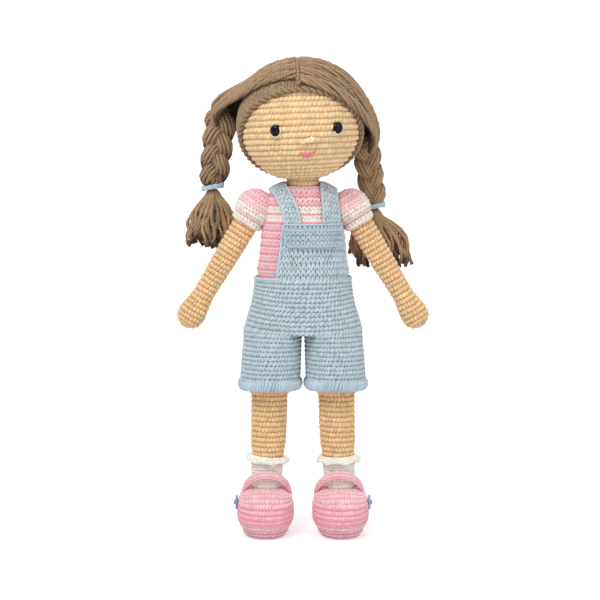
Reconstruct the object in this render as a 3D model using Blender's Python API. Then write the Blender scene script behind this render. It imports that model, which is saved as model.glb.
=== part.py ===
"""Crocheted doll in a striped shirt and bib shorts, with two plaits, frilled socks and strap shoes.

The doll stands on its soles at z = 0 and faces -Y. Its own left side is +X.
"""
import math

import bmesh
import bpy
import numpy as np
from mathutils import Matrix, Vector

# Clearances and mesh counts
GAP = 0.0003
OVERRUN = 0.004
BODY_SIDES = 20
HEAD_SIDES = 22
LIMB_SIDES = 14
SMALL_SIDES = 12
SIDES = (("left", 1), ("right", -1))

# Body
SEAT_HEIGHT = 0.165
TORSO_LENGTH = 0.115
TORSO_WIDTH = 0.069
TORSO_DEPTH = 0.047
TORSO_WALL = 0.003
COLLAR_HOLE_RADIUS = 0.0055
SEAT_SPLIT = 0.0006
BODY_POWER = 2.2
THIGH_POWER = 2.4
SHOE_POWER = 2.15

# Shoulders and arms
SHOULDER_WIDTH = 0.0765
SHOULDER_DROP = 0.018
SLEEVE_RADIUS = 0.0155
SLEEVE_WALL = 0.0022
SLEEVE_CLEARANCE = 0.0005
SLEEVE_MOUTH_ANGLE = math.radians(53)
CROWN_START = math.radians(14)
SLEEVE_HEM_LENGTH = 0.0045
SLEEVE_HEM_THICKNESS = 0.0022
ARM_LENGTH = 0.110
ARM_RADIUS = 0.0098
ARM_SLOPE = math.radians(31)
ARM_WALL = 0.0025
ARM_HOLE_RADIUS = 0.0025
SHOULDER_THREAD_RADIUS = 0.001

# Neck and its hidden core
NECK_RADIUS = 0.013
NECK_SHOW = 0.0055
NECK_TUCK = 0.006
DOWEL_RADIUS = 0.0035
DOWEL_BELOW_COLLAR = 0.0125
DOWEL_IN_HEAD = 0.028

# Head and face
HEAD_WIDTH = 0.094
HEAD_DEPTH = 0.090
HEAD_HEIGHT = 0.089
HEAD_SET_FORWARD = 0.002
HEAD_WALL = 0.003
HEAD_LEAN = math.radians(-2.5)
FACE_TURN = math.radians(6.4)
EYE_SPREAD = math.radians(32.6)
EYE_DROP = math.radians(4.6)
EYE_WIDTH = 0.0076
EYE_HEIGHT = 0.0090
EYE_BULGE = 0.0028
EYE_STEM_RADIUS = 0.0012
EYE_STEM_REACH = 0.0060
EYE_WASHER_SETBACK = 0.0010
EYE_WASHER_RADIUS = 0.0040
EYE_WASHER_THICKNESS = 0.0012
NOSE_DROP = math.radians(15.6)
NOSE_WIDTH = 0.0100
NOSE_HEIGHT = 0.0050
NOSE_BULGE = 0.0024
MOUTH_DROP = math.radians(30)
MOUTH_WIDTH = 0.0115
MOUTH_RISE = 0.0030
MOUTH_LINE = 0.0022
MOUTH_BULGE = 0.0012

# Wig
WIG_CAP_THICKNESS = 0.0024
WIG_CAP_CLEARANCE = 0.0010
WIG_CAP_TILT = math.radians(40.4)
WIG_CAP_REACH = math.radians(104.3)
HAIR_THICKNESS = 0.0028
HAIR_CLEARANCE = 0.0010
HAIR_GATHER_THICKNESS = 0.0075
HAIR_COLLAR_CLEARANCE = 0.0008
PARTING_WIDTH = 0.0024
PARTING_THICKNESS = 0.0018
PARTING_FRONT = math.radians(39)
PARTING_NAPE = math.radians(222)
HAIR_FRONT = {"left": math.radians(39), "right": math.radians(45)}
HAIR_BROW_SHARES = {"left": (0.10, -0.22, -0.10), "right": (0.10, -0.10, 0.10)}
HAIR_COLLAR_START = math.radians(0)
HAIR_COLLAR_END = math.radians(185)

# Plaits, ties and tassels, doll's left and right
PLAIT_RADIUS = {"left": 0.0112, "right": 0.0128}
PLAIT_DEPTH_SHARE = 0.82
PLAIT_LOBES = 5
PLAIT_TAPER_SHARE = 0.10
PLAIT_NECKING_SHARE = 0.10
PLAIT_SWAY = 0.0034
PLAIT_LENGTH = {"left": 0.0470, "right": 0.0520}
PLAIT_OUTWARD = {"left": 0.0070, "right": 0.0070}
PLAIT_BACKWARD = {"left": 0.0010, "right": 0.0050}
PLAIT_ROOT_SHARES = {"left": (0.935, 0.550, -0.325), "right": (-1.215, 0.390, 0.080)}
TIE_RADIUS = 0.0088
TIE_DEPTH = 0.0072
TIE_LENGTH = 0.0040
TASSEL_NECK_RADIUS = 0.0058
TASSEL_LENGTH = {"left": 0.0480, "right": 0.0470}
TASSEL_SPREAD = {"left": 0.0270, "right": 0.0215}
TASSEL_DEPTH = 0.0085
TASSEL_BACKWARD = 0.0018
TASSEL_LEAN = {"left": 0.0080, "right": -0.0020}

# Overalls
SHORTS_THICKNESS = 0.0033
SHORTS_RISE = 0.042
GARMENT_TWIST = math.radians(18)
BIB_HEIGHT = 0.043
BIB_SPREAD = math.radians(49)
BIB_THICKNESS = 0.0026
BIB_NARROWING_SHARE = 0.14
BIB_CLEARANCE = 0.0009
FLAP_HEIGHT = 0.0125
FLAP_DROP = 0.0045
FLAP_SPREAD = math.radians(38)
FLAP_THICKNESS = 0.0018
STRAP_WIDTH = 0.0112
STRAP_THICKNESS = 0.0024
GARMENT_CLEARANCE = 0.0013
STRAP_OFFSET = 0.0190
STRAP_BACK_OFFSET = 0.0150
STRAP_SPREAD_SHARES = {"left": 0.45, "right": 0.62}

# Legs
LEG_RADIUS = 0.014
LEG_WALL = 0.0025
LEG_FLOOR_ROWS = 3
LEG_FILL_CLEARANCE = 0.0009
LEG_SPREAD_AT_FOOT = 0.0302
LEG_SPREAD_AT_HIP = 0.0242
THIGH_RADIUS = 0.0200
THIGH_DEPTH = 0.0242
HIP_HINGE_DROP = 0.015
HIP_HINGE_FORWARD = 0.019
HIP_HINGE_CLEARANCE = 0.0006
CUFF_BASE_SHARE = 0.7152
CUFF_HEIGHT = 0.0135
CUFF_THICKNESS = 0.0018

# Socks and shoes
SOCK_TOP = 0.060
SOCK_THICKNESS = 0.0016
SOCK_BASE = 0.0085
FRILL_TOP = 0.0665
FRILL_DROP = 0.0085
FRILL_RADIUS = 0.0186
FRILL_THICKNESS = 0.0022
FRILL_WAVES = 7
FRILL_WAVE = 0.0011
SOLE_THICKNESS = 0.005
SOLE_MARGIN = 0.0010
SHOE_WIDTH = 0.0440
SHOE_LENGTH = 0.0620
SHOE_HEIGHT = 0.0460
SHOE_TOE_FORWARD = 0.0065
SHOE_VAMP_HEIGHT = 0.0380
SHOE_FACING = 0.0040
SHOE_STRAP_WIDTH = 0.0062
SHOE_STRAP_THICKNESS = 0.0026
SHOE_STRAP_DROP = 0.0010
ANKLE_BACK = 0.0030
FLOWER_RADIUS = 0.0052
FLOWER_THICKNESS = 0.0026
FLOWER_HEIGHT = 0.0255
FLOWER_FORWARD = 0.0060
FLOWER_PETALS = 5
FLOWER_PETAL_SHARE = 0.16

# Shapes as shares: torso (height, half width, half depth), from the seat up
TORSO_SHARES = (
    (0.000, 1.270, 1.115),
    (0.085, 1.194, 1.080),
    (0.174, 1.096, 1.050),
    (0.252, 1.049, 1.015),
    (0.365, 1.003, 0.987),
    (0.417, 1.052, 1.020),
    (0.500, 1.000, 1.013),
    (0.610, 0.965, 1.000),
    (0.700, 0.940, 0.985),
    (0.765, 0.900, 0.965),
    (0.843, 0.890, 0.915),
    (0.913, 0.850, 0.810),
    (0.960, 0.720, 0.680),
    (0.988, 0.550, 0.560),
    (1.000, 0.430, 0.490),
)
# Leg (height up to the seat, outward drift foot to hip, radius) below the thigh
SHIN_SHARES = (
    (0.073, 0.00, 0.45),
    (0.085, 0.00, 0.68),
    (0.115, 0.00, 0.78),
    (0.190, 0.05, 0.81),
    (0.310, 0.18, 0.81),
    (0.370, 0.28, 0.86),
    (0.440, 0.38, 0.97),
    (0.560, 0.48, 1.00),
    (0.690, 0.56, 1.00),
)
# Thigh (height up to the seat, drift, half width, half depth)
THIGH_SHARES = (
    (0.722, 0.62, 1.010, 0.960),
    (0.800, 0.70, 1.010, 1.000),
    (0.890, 0.84, 0.990, 1.005),
    (0.984, 0.98, 0.980, 0.995),
    (1.000, 1.00, 0.980, 0.990),
)
# Arm (length down from the shoulder, radius)
ARM_SHARES = (
    (0.090, 1.00),
    (0.260, 0.98),
    (0.430, 0.95),
    (0.600, 0.86),
    (0.720, 0.83),
    (0.800, 0.95),
    (0.880, 1.12),
    (0.940, 1.06),
    (0.980, 0.76),
    (1.000, 0.30),
)
# Shoe (height, half width, half length, shift forward)
SHOE_SHARES = (
    (0.115, 0.900, 0.920, 1.00),
    (0.200, 0.985, 0.985, 1.05),
    (0.360, 1.000, 1.000, 1.00),
    (0.540, 0.985, 0.965, 0.85),
    (0.700, 0.915, 0.865, 0.50),
    (0.840, 0.830, 0.720, 0.00),
    (0.930, 0.770, 0.620, -0.30),
    (1.000, 0.720, 0.560, -0.42),
)
# Tassel (length, spread, depth) below the tie
TASSEL_SHARES = (
    (0.00, 0.00, 0.00),
    (0.12, 0.30, 0.45),
    (0.35, 0.62, 0.85),
    (0.65, 0.86, 1.00),
    (0.90, 1.00, 0.95),
    (1.00, 0.90, 0.60),
)

# Heights and places that follow from the sizes above
COLLAR_HEIGHT = SEAT_HEIGHT + TORSO_LENGTH
CUFF_BASE = SEAT_HEIGHT * CUFF_BASE_SHARE
HEAD_RIM_SHARE = math.sqrt(1 - (2 * NECK_RADIUS / HEAD_WIDTH) ** 2)
HEAD_CENTRE = Vector((0, -HEAD_SET_FORWARD, COLLAR_HEIGHT + NECK_SHOW + HEAD_HEIGHT / 2 * HEAD_RIM_SHARE))
HEAD_RADII = np.array((HEAD_WIDTH, HEAD_DEPTH, HEAD_HEIGHT)) / 2
CAP_INNER = WIG_CAP_CLEARANCE
CAP_OUTER = CAP_INNER + WIG_CAP_THICKNESS
HAIR_INNER = CAP_OUTER + HAIR_CLEARANCE
NECK_PIVOT = Vector((0, 0, COLLAR_HEIGHT))
SHOULDER_HEIGHT = COLLAR_HEIGHT - SHOULDER_DROP

COLOURS = {
    "skin": (0.80, 0.58, 0.35, 1.0),
    "stuffing": (0.85, 0.85, 0.83, 1.0),
    "pink": (0.90, 0.40, 0.50, 1.0),
    "cream": (0.88, 0.82, 0.72, 1.0),
    "blue": (0.42, 0.54, 0.62, 1.0),
    "pale_blue": (0.58, 0.72, 0.80, 1.0),
    "hair": (0.24, 0.15, 0.09, 1.0),
    "black": (0.01, 0.01, 0.012, 1.0),
    "mouth": (0.75, 0.16, 0.28, 1.0),
    "flower": (0.26, 0.33, 0.46, 1.0),
    "wood": (0.55, 0.38, 0.20, 1.0),
    "sole": (0.90, 0.44, 0.53, 1.0),
}
GLOSSY = ("black",)


def clear_scene():
    for obj in list(bpy.data.objects):
        bpy.data.objects.remove(obj, do_unlink=True)


def finish_named(name, colour):
    """One Principled material per sub-part, in the colour of its yarn."""
    material = bpy.data.materials.new(name)
    material.use_nodes = True
    shader = material.node_tree.nodes["Principled BSDF"]
    shader.inputs["Base Color"].default_value = COLOURS[colour]
    shader.inputs["Roughness"].default_value = 0.15 if colour in GLOSSY else 0.9
    shader.inputs["Metallic"].default_value = 0
    return material


def pivot(name, place, parent=None):
    """An empty on a joint's axis, placed in world coordinates."""
    empty = bpy.data.objects.new(name, None)
    bpy.context.collection.objects.link(empty)
    empty.empty_display_size = ARM_RADIUS
    empty["place"] = tuple(place)
    carried = Vector(parent["place"]) if parent else Vector((0, 0, 0))
    empty.parent = parent
    empty.location = Vector(place) - carried
    return empty


def add_object(name, bm, colour, parent):
    """Wrap a world-space bmesh in an object that hangs on its pivot."""
    bmesh.ops.recalc_face_normals(bm, faces=bm.faces)
    mesh = bpy.data.meshes.new(name)
    bm.to_mesh(mesh)
    bm.free()
    mesh.transform(Matrix.Translation(-Vector(parent["place"])))
    mesh.shade_smooth()
    mesh.materials.append(finish_named(name, colour))
    obj = bpy.data.objects.new(name, mesh)
    bpy.context.collection.objects.link(obj)
    obj.parent = parent
    return obj


def skin_rings(rings, closed=False):
    """Join rings of points into one surface; open ends get flat caps."""
    bm = bmesh.new()
    loops = [[bm.verts.new(point) for point in ring] for ring in rings]
    count = len(loops[0])
    last = len(loops) if closed else len(loops) - 1
    for index in range(last):
        low = loops[index]
        high = loops[(index + 1) % len(loops)]
        for side in range(count):
            after = (side + 1) % count
            bm.faces.new((low[side], low[after], high[after], high[side]))
    if not closed:
        bm.faces.new(list(reversed(loops[0])))
        bm.faces.new(loops[-1])
    return bm


def oval(centre, half_x, half_y, sides, power=2.0):
    """A level ring: an ellipse, squarer where power is above 2."""
    angles = np.linspace(0, 2 * math.pi, sides, endpoint=False)
    cos = np.cos(angles)
    sin = np.sin(angles)
    xs = centre[0] + half_x * np.sign(cos) * np.abs(cos) ** (2 / power)
    ys = centre[1] + half_y * np.sign(sin) * np.abs(sin) ** (2 / power)
    return [(x, y, centre[2]) for x, y in zip(xs, ys)]


def add_modifier_cut(target, cutter):
    modifier = target.modifiers.new("cut_" + cutter.name, "BOOLEAN")
    modifier.operation = "DIFFERENCE"
    modifier.solver = "EXACT"
    modifier.object = cutter


def cutter_from(name, bm, parent):
    """A hidden wire shape that only cuts others."""
    cutter = add_object(name, bm, "stuffing", parent)
    cutter.hide_render = True
    cutter.display_type = "WIRE"
    return cutter


def ball_rings(centre, radius, sides, levels):
    """Level rings of a sphere, from just above its lowest point to just below its highest."""
    rings = []
    for step in range(1, levels):
        angle = math.pi * step / levels
        height = centre[2] - radius * math.cos(angle)
        around = radius * math.sin(angle)
        rings.append(oval((centre[0], centre[1], height), around, around, sides))
    return rings


def rod_rings(start, end, radius, sides):
    """Two rings square to the line from start to end."""
    start = Vector(start)
    end = Vector(end)
    turn = (end - start).to_track_quat("Z", "Y")
    rings = []
    for centre in (start, end):
        ring = [centre + turn @ Vector(point) for point in oval((0, 0, 0), radius, radius, sides)]
        rings.append(ring)
    return rings


def smooth(value):
    value = min(max(value, 0), 1)
    return value * value * (3 - 2 * value)


# Torso surface
def torso_at(height):
    """Half width and half depth of the body at a height, read between the shape's shares."""
    share = (height - SEAT_HEIGHT) / TORSO_LENGTH
    heights = [row[0] for row in TORSO_SHARES]
    half_width = np.interp(share, heights, [row[1] for row in TORSO_SHARES]) * TORSO_WIDTH / 2
    half_depth = np.interp(share, heights, [row[2] for row in TORSO_SHARES]) * TORSO_DEPTH / 2
    return float(half_width), float(half_depth)


def torso_ring(height, offset):
    half_width, half_depth = torso_at(height)
    return oval((0, 0, height), half_width + offset, half_depth + offset, BODY_SIDES, BODY_POWER)


def torso_heights(low, high):
    """The heights of the shape's own rows between two levels, with the levels themselves."""
    rows = [SEAT_HEIGHT + row[0] * TORSO_LENGTH for row in TORSO_SHARES]
    inside = [row for row in rows if low + GAP < row < high - GAP]
    return [low] + inside + [high]


def torso_front(across, height, facing=-1):
    """A point of the body's front or back at a distance across and a height, and its outward normal."""
    half_width, half_depth = torso_at(height)
    lean = min(abs(across) / half_width, 0.999)
    depth = half_depth * (1 - lean ** BODY_POWER) ** (1 / BODY_POWER)
    point = Vector((across, facing * depth, height))
    step = TORSO_LENGTH / 200
    above = torso_at(height + step)
    below = torso_at(height - step)

    def level(x, y, radii):
        return abs(x / radii[0]) ** BODY_POWER + abs(y / radii[1]) ** BODY_POWER

    slope_x = BODY_POWER * abs(across / half_width) ** (BODY_POWER - 1) / half_width * math.copysign(1, across)
    slope_y = BODY_POWER * abs(depth / half_depth) ** (BODY_POWER - 1) / half_depth * facing
    slope_z = (level(across, depth, above) - level(across, depth, below)) / (2 * step)
    return point, Vector((slope_x, slope_y, slope_z)).normalized()


def make_torso(root):
    """The shirt body: a crocheted shell that is open at the collar, with its stuffing."""
    seat = SEAT_HEIGHT + SEAT_SPLIT / 2
    outer = [torso_ring(height, 0) for height in torso_heights(seat, COLLAR_HEIGHT)]
    inner_top = COLLAR_HEIGHT - TORSO_WALL
    inner = [torso_ring(height, -TORSO_WALL) for height in torso_heights(seat + TORSO_WALL, inner_top)]
    collar = [
        oval((0, 0, height), COLLAR_HOLE_RADIUS, COLLAR_HOLE_RADIUS, BODY_SIDES)
        for height in (COLLAR_HEIGHT, inner_top)
    ]
    add_object("shirt_body", skin_rings(outer + collar + inner[::-1][1:]), "pink", root)

    inset = TORSO_WALL + 2 * GAP
    fill_top = COLLAR_HEIGHT - inset
    fill = [torso_ring(height, -inset) for height in torso_heights(seat + inset, fill_top)]
    add_object("body_stuffing", skin_rings(fill[:-1]), "stuffing", root)


def shoulder_centre(side):
    return Vector((side * SHOULDER_WIDTH / 2, 0, SHOULDER_HEIGHT))


def cut_shoulders(root):
    """Round seats in the body for the sleeves, and the bore of the thread that joins the arms."""
    body = bpy.data.objects["shirt_body"]
    stuffing = bpy.data.objects["body_stuffing"]
    for label, side in SIDES:
        radius = SLEEVE_RADIUS + SLEEVE_CLEARANCE
        rings = ball_rings(shoulder_centre(side), radius, LIMB_SIDES, 10)
        seat = cutter_from("shoulder_seat_" + label, skin_rings(rings), root)
        add_modifier_cut(body, seat)
        add_modifier_cut(stuffing, seat)
    reach = SHOULDER_WIDTH / 2
    start = (-reach, 0, SHOULDER_HEIGHT)
    end = (reach, 0, SHOULDER_HEIGHT)
    bore = skin_rings(rod_rings(start, end, SHOULDER_THREAD_RADIUS + GAP, SMALL_SIDES))
    add_modifier_cut(stuffing, cutter_from("thread_bore", bore, root))
    run = SHOULDER_WIDTH / 2 - SLEEVE_RADIUS - SLEEVE_CLEARANCE
    start = (-run, 0, SHOULDER_HEIGHT)
    end = (run, 0, SHOULDER_HEIGHT)
    thread = skin_rings(rod_rings(start, end, SHOULDER_THREAD_RADIUS, SMALL_SIDES))
    add_object("shoulder_thread", thread, "cream", root)


def make_neck(root):
    """The neck, and the short dowel inside it that the head turns on."""
    base = COLLAR_HEIGHT + GAP
    top = COLLAR_HEIGHT + NECK_SHOW + NECK_TUCK
    bore = DOWEL_RADIUS + GAP
    rings = [
        oval((0, 0, base), NECK_RADIUS, NECK_RADIUS, BODY_SIDES),
        oval((0, 0, top), NECK_RADIUS - GAP, NECK_RADIUS - GAP, BODY_SIDES),
        oval((0, 0, top), bore, bore, BODY_SIDES),
        oval((0, 0, base), bore, bore, BODY_SIDES),
    ]
    add_object("neck", skin_rings(rings, closed=True), "skin", root)

    low = COLLAR_HEIGHT - DOWEL_BELOW_COLLAR
    high = top + DOWEL_IN_HEAD
    dowel = skin_rings(rod_rings((0, 0, low), (0, 0, high), DOWEL_RADIUS, SMALL_SIDES))
    add_object("neck_dowel", dowel, "wood", root)
    hole = rod_rings((0, 0, low - GAP), (0, 0, COLLAR_HEIGHT + OVERRUN), bore, SMALL_SIDES)
    hole_in_body = cutter_from("dowel_hole", skin_rings(hole), root)
    add_modifier_cut(bpy.data.objects["body_stuffing"], hole_in_body)


# Head surface
def head_point(direction, offset):
    """The point of the head's oval in a direction, pushed out by an offset."""
    return HEAD_CENTRE + Vector(np.array(direction) * (HEAD_RADII + offset))


def face_direction(turn, drop):
    """A direction from the head's centre: turn towards the doll's left, drop below level."""
    turn = turn + FACE_TURN
    return Vector((math.sin(turn) * math.cos(drop), -math.cos(turn) * math.cos(drop), -math.sin(drop)))


def head_rings(offset, rim_radius, levels):
    """Level rings of the head's oval from the neck opening up to near the crown."""
    lowest = math.asin(rim_radius / (HEAD_RADII[1] - HEAD_WALL))
    rings = []
    for step in range(levels):
        angle = lowest + (math.pi - lowest) * step / levels
        ring = []
        for x, y, _ in oval((0, 0, 0), math.sin(angle), math.sin(angle), HEAD_SIDES):
            ring.append(head_point((x, y, -math.cos(angle)), offset))
        rings.append(ring)
    return rings


def make_head(lean):
    """The head's crocheted shell, open where the neck goes in, and its stuffing."""
    play = math.tan(abs(HEAD_LEAN)) * (NECK_SHOW + NECK_TUCK)
    rim = NECK_RADIUS + HEAD_SET_FORWARD + play + 2 * GAP
    levels = 10
    outer = head_rings(0, rim, levels)
    inner = head_rings(-HEAD_WALL, rim, levels)
    head = add_object("head", skin_rings(outer[::-1] + inner), "skin", lean)

    fill = head_rings(-HEAD_WALL - 2 * GAP, rim, levels)
    neck_top = COLLAR_HEIGHT + NECK_SHOW + NECK_TUCK
    stuffing = add_object("head_stuffing", skin_rings(fill), "stuffing", lean)
    wide = NECK_RADIUS + 2 * HEAD_WALL
    room = rod_rings((0, 0, COLLAR_HEIGHT), (0, 0, neck_top + 2 * GAP), wide, LIMB_SIDES)
    add_modifier_cut(stuffing, cutter_from("neck_room", skin_rings(room), lean))
    high = neck_top + DOWEL_IN_HEAD + GAP
    play = math.tan(abs(HEAD_LEAN)) * (high - COLLAR_HEIGHT)
    bore = rod_rings((0, 0, COLLAR_HEIGHT), (0, 0, high + GAP), DOWEL_RADIUS + GAP + play, SMALL_SIDES)
    add_modifier_cut(stuffing, cutter_from("dowel_room", skin_rings(bore), lean))
    return head, stuffing


def disc_on_head(direction, half_width, half_height, levels, sides):
    """Rings of a round piece seen straight on, as (offset from the skin, size share) levels."""
    across = Vector((0, 0, 1)).cross(direction).normalized()
    upward = direction.cross(across).normalized()
    centre = head_point(direction, 0)
    normal = Vector(np.array(direction) / HEAD_RADII).normalized()
    rings = []
    for offset, share in levels:
        ring = []
        for x, y, _ in oval((0, 0, 0), half_width * share, half_height * share, sides):
            ring.append(centre + across * x + upward * y + normal * offset)
        rings.append(ring)
    return rings


def make_eyes(lean, head, stuffing):
    """Domed plastic eyes: the stem goes through the skin into a washer that holds it."""
    for label, side in SIDES:
        direction = face_direction(side * EYE_SPREAD, EYE_DROP)
        stem = 2 * EYE_STEM_RADIUS / EYE_WIDTH
        stem_high = 2 * EYE_STEM_RADIUS / EYE_HEIGHT
        levels = ((GAP, 1.0), (0.45 * EYE_BULGE, 0.92), (0.85 * EYE_BULGE, 0.6), (EYE_BULGE, 0.2))
        dome = disc_on_head(direction, EYE_WIDTH / 2, EYE_HEIGHT / 2, levels, SMALL_SIDES)
        shank = disc_on_head(direction, EYE_WIDTH / 2 * stem, EYE_HEIGHT / 2 * stem_high,
                             ((-EYE_STEM_REACH, 1), (GAP, 1)), SMALL_SIDES)
        add_object("eye_" + label, skin_rings(shank + dome), "black", lean)

        hole_share = 1 + GAP / EYE_STEM_RADIUS
        hole = disc_on_head(direction, EYE_STEM_RADIUS * hole_share, EYE_STEM_RADIUS * hole_share,
                            ((-HEAD_WALL - OVERRUN, 1), (OVERRUN, 1)), SMALL_SIDES)
        add_modifier_cut(head, cutter_from("eye_hole_" + label, skin_rings(hole), lean))

        outer = EYE_WASHER_RADIUS
        inner = EYE_STEM_RADIUS + GAP
        front = -HEAD_WALL - EYE_WASHER_SETBACK
        back = front - EYE_WASHER_THICKNESS
        flat = disc_on_head(direction, 1, 1, ((0, 1),), SMALL_SIDES)
        washer = []
        for offset, radius in ((back, outer), (front, outer), (front, inner), (back, inner)):
            washer += disc_on_head(direction, radius, radius, ((offset, 1),), len(flat[0]))
        add_object("eye_washer_" + label, skin_rings(washer, closed=True), "cream", lean)
        room = outer + GAP
        pocket = disc_on_head(direction, room, room, ((-EYE_STEM_REACH - GAP, 1), (OVERRUN, 1)), SMALL_SIDES)
        add_modifier_cut(stuffing, cutter_from("washer_room_" + label, skin_rings(pocket), lean))


def patch(surface, rows, columns):
    """A closed slab from a function that gives its lower and upper point at each share pair."""
    bm = bmesh.new()
    low = []
    high = []
    for row in range(rows + 1):
        low_row = []
        high_row = []
        for column in range(columns + 1):
            below, above = surface(row / rows, column / columns)
            low_row.append(bm.verts.new(below))
            high_row.append(bm.verts.new(above))
        low.append(low_row)
        high.append(high_row)
    for row in range(rows):
        for column in range(columns):
            for grid in (low, high):
                bm.faces.new((grid[row][column], grid[row][column + 1],
                              grid[row + 1][column + 1], grid[row + 1][column]))
    rim = [(row, 0) for row in range(rows)]
    rim += [(rows, column) for column in range(columns)]
    rim += [(rows - row, columns) for row in range(rows)]
    rim += [(0, columns - column) for column in range(columns)]
    for index, (row, column) in enumerate(rim):
        next_row, next_column = rim[(index + 1) % len(rim)]
        bm.faces.new((low[row][column], low[next_row][next_column],
                      high[next_row][next_column], high[row][column]))
    return bm


def make_nose(lean):
    """A small bump of stitches worked over one row."""
    def surface(row, column):
        across = (2 * row - 1)
        upward = (2 * column - 1)
        square = 1 - abs(across * upward) * 0.3
        turn = across * square * NOSE_WIDTH / HEAD_WIDTH
        drop = NOSE_DROP - upward * square * NOSE_HEIGHT / HEAD_HEIGHT
        direction = face_direction(turn, drop)
        bulge = NOSE_BULGE * (1 - 0.8 * max(abs(across), abs(upward)) ** 2)
        return head_point(direction, GAP), head_point(direction, GAP + bulge)

    add_object("nose", patch(surface, 6, 4), "skin", lean)


def make_mouth(lean):
    """A shallow stitched smile, thicker in the middle."""
    def surface(row, column):
        across = (2 * row - 1)
        line = MOUTH_LINE * (1 - 0.55 * abs(across)) / 2
        turn = across * MOUTH_WIDTH / HEAD_WIDTH / math.cos(MOUTH_DROP)
        lift = MOUTH_RISE * abs(across) + (2 * column - 1) * line
        direction = face_direction(turn, MOUTH_DROP - 2 * lift / HEAD_HEIGHT)
        bulge = MOUTH_BULGE * (1 - 0.5 * abs(across))
        return head_point(direction, GAP), head_point(direction, GAP + bulge)

    add_object("mouth", patch(surface, 10, 2), "mouth", lean)


# Wig
def make_wig_cap(lean):
    """The crocheted cap that the hair is sewn to, cut off on a slanted plane round the face."""
    pole = Vector((0, math.cos(WIG_CAP_TILT), math.sin(WIG_CAP_TILT)))
    turn = pole.to_track_quat("Z", "Y")
    levels = 9

    def cap_ring(offset, angle):
        ring = []
        for x, y, _ in oval((0, 0, 0), 1, 1, HEAD_SIDES):
            local = Vector((x * math.sin(angle), y * math.sin(angle), math.cos(angle)))
            ring.append(head_point(turn @ local, offset))
        return ring

    angles = [WIG_CAP_REACH * (step + 0.4) / (levels + 0.4) for step in range(levels + 1)]
    outer = [cap_ring(CAP_OUTER, angle) for angle in angles]
    inner = [cap_ring(CAP_INNER, angle) for angle in reversed(angles)]
    add_object("wig_cap", skin_rings(outer + inner), "hair", lean)


def parting_direction(angle, across=0):
    """A direction on the parting: angle 0 is the brow, 90 degrees the crown, 180 the back."""
    ahead = Vector((0, -math.cos(angle), math.sin(angle)))
    return (ahead + Vector((across, 0, 0))).normalized()


def make_parting(lean):
    """The stitched seam down the middle that holds the strands."""
    half = PARTING_WIDTH / 2 / HEAD_RADII[0]

    def surface(row, column):
        angle = PARTING_FRONT + (PARTING_NAPE - PARTING_FRONT) * row
        direction = parting_direction(angle, (2 * column - 1) * half)
        return head_point(direction, HAIR_INNER), head_point(direction, HAIR_INNER + PARTING_THICKNESS)

    add_object("hair_parting", patch(surface, 14, 1), "hair", lean)


def plait_root(label):
    """Where a plait leaves the head, in shares of the haired head's half sizes."""
    reach = HEAD_RADII + HAIR_INNER + HAIR_THICKNESS
    return HEAD_CENTRE + Vector(np.array(PLAIT_ROOT_SHARES[label]) * reach)


def make_hair(lean, lean_turn):
    """Strands laid from the parting round the head, gathered in a collar at the plait's root."""
    for label, side in SIDES:
        root = lean_turn.inverted() @ (plait_root(label) - NECK_PIVOT) + NECK_PIVOT
        centre = Vector(np.array(root - HEAD_CENTRE) / (HEAD_RADII + HAIR_INNER)).normalized()
        outward = (root - HEAD_CENTRE).normalized()
        ahead = Vector((0, -1, 0))
        ahead = (ahead - outward * ahead.dot(outward)).normalized()
        upward = outward.cross(ahead) * -side
        collar = PLAIT_RADIUS[label] + HAIR_COLLAR_CLEARANCE
        brow = Vector(HAIR_BROW_SHARES[label])
        half = (PARTING_WIDTH / 2 + GAP) / HEAD_RADII[0]

        def surface(row, column):
            angle = HAIR_FRONT[label] + (PARTING_NAPE - HAIR_FRONT[label]) * row
            start = parting_direction(angle, side * half)
            swing = HAIR_COLLAR_START + (HAIR_COLLAR_END - HAIR_COLLAR_START) * row
            spoke = ahead * math.cos(swing) + upward * math.sin(swing)
            end = (centre + spoke * collar / HEAD_RADII[2]).normalized()
            bow = Vector((side * brow.x, brow.y, brow.z)) * (1 - smooth(row * 3))
            middle = ((start + end).normalized() + bow).normalized()
            path = start * (1 - column) ** 2 + middle * 2 * column * (1 - column) + end * column ** 2
            path = path.normalized()
            gather = smooth(2 * column - 1)
            ring = root + spoke * collar
            half_rim = outward * HAIR_GATHER_THICKNESS / 2
            low = ring - half_rim - head_point(end, HAIR_INNER)
            high = ring + half_rim - head_point(end, HAIR_INNER + HAIR_THICKNESS)
            under = head_point(path, HAIR_INNER) + low * gather
            return under, head_point(path, HAIR_INNER + HAIR_THICKNESS) + high * gather

        add_object("hair_" + label, patch(surface, 12, 10), "hair", lean)


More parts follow.
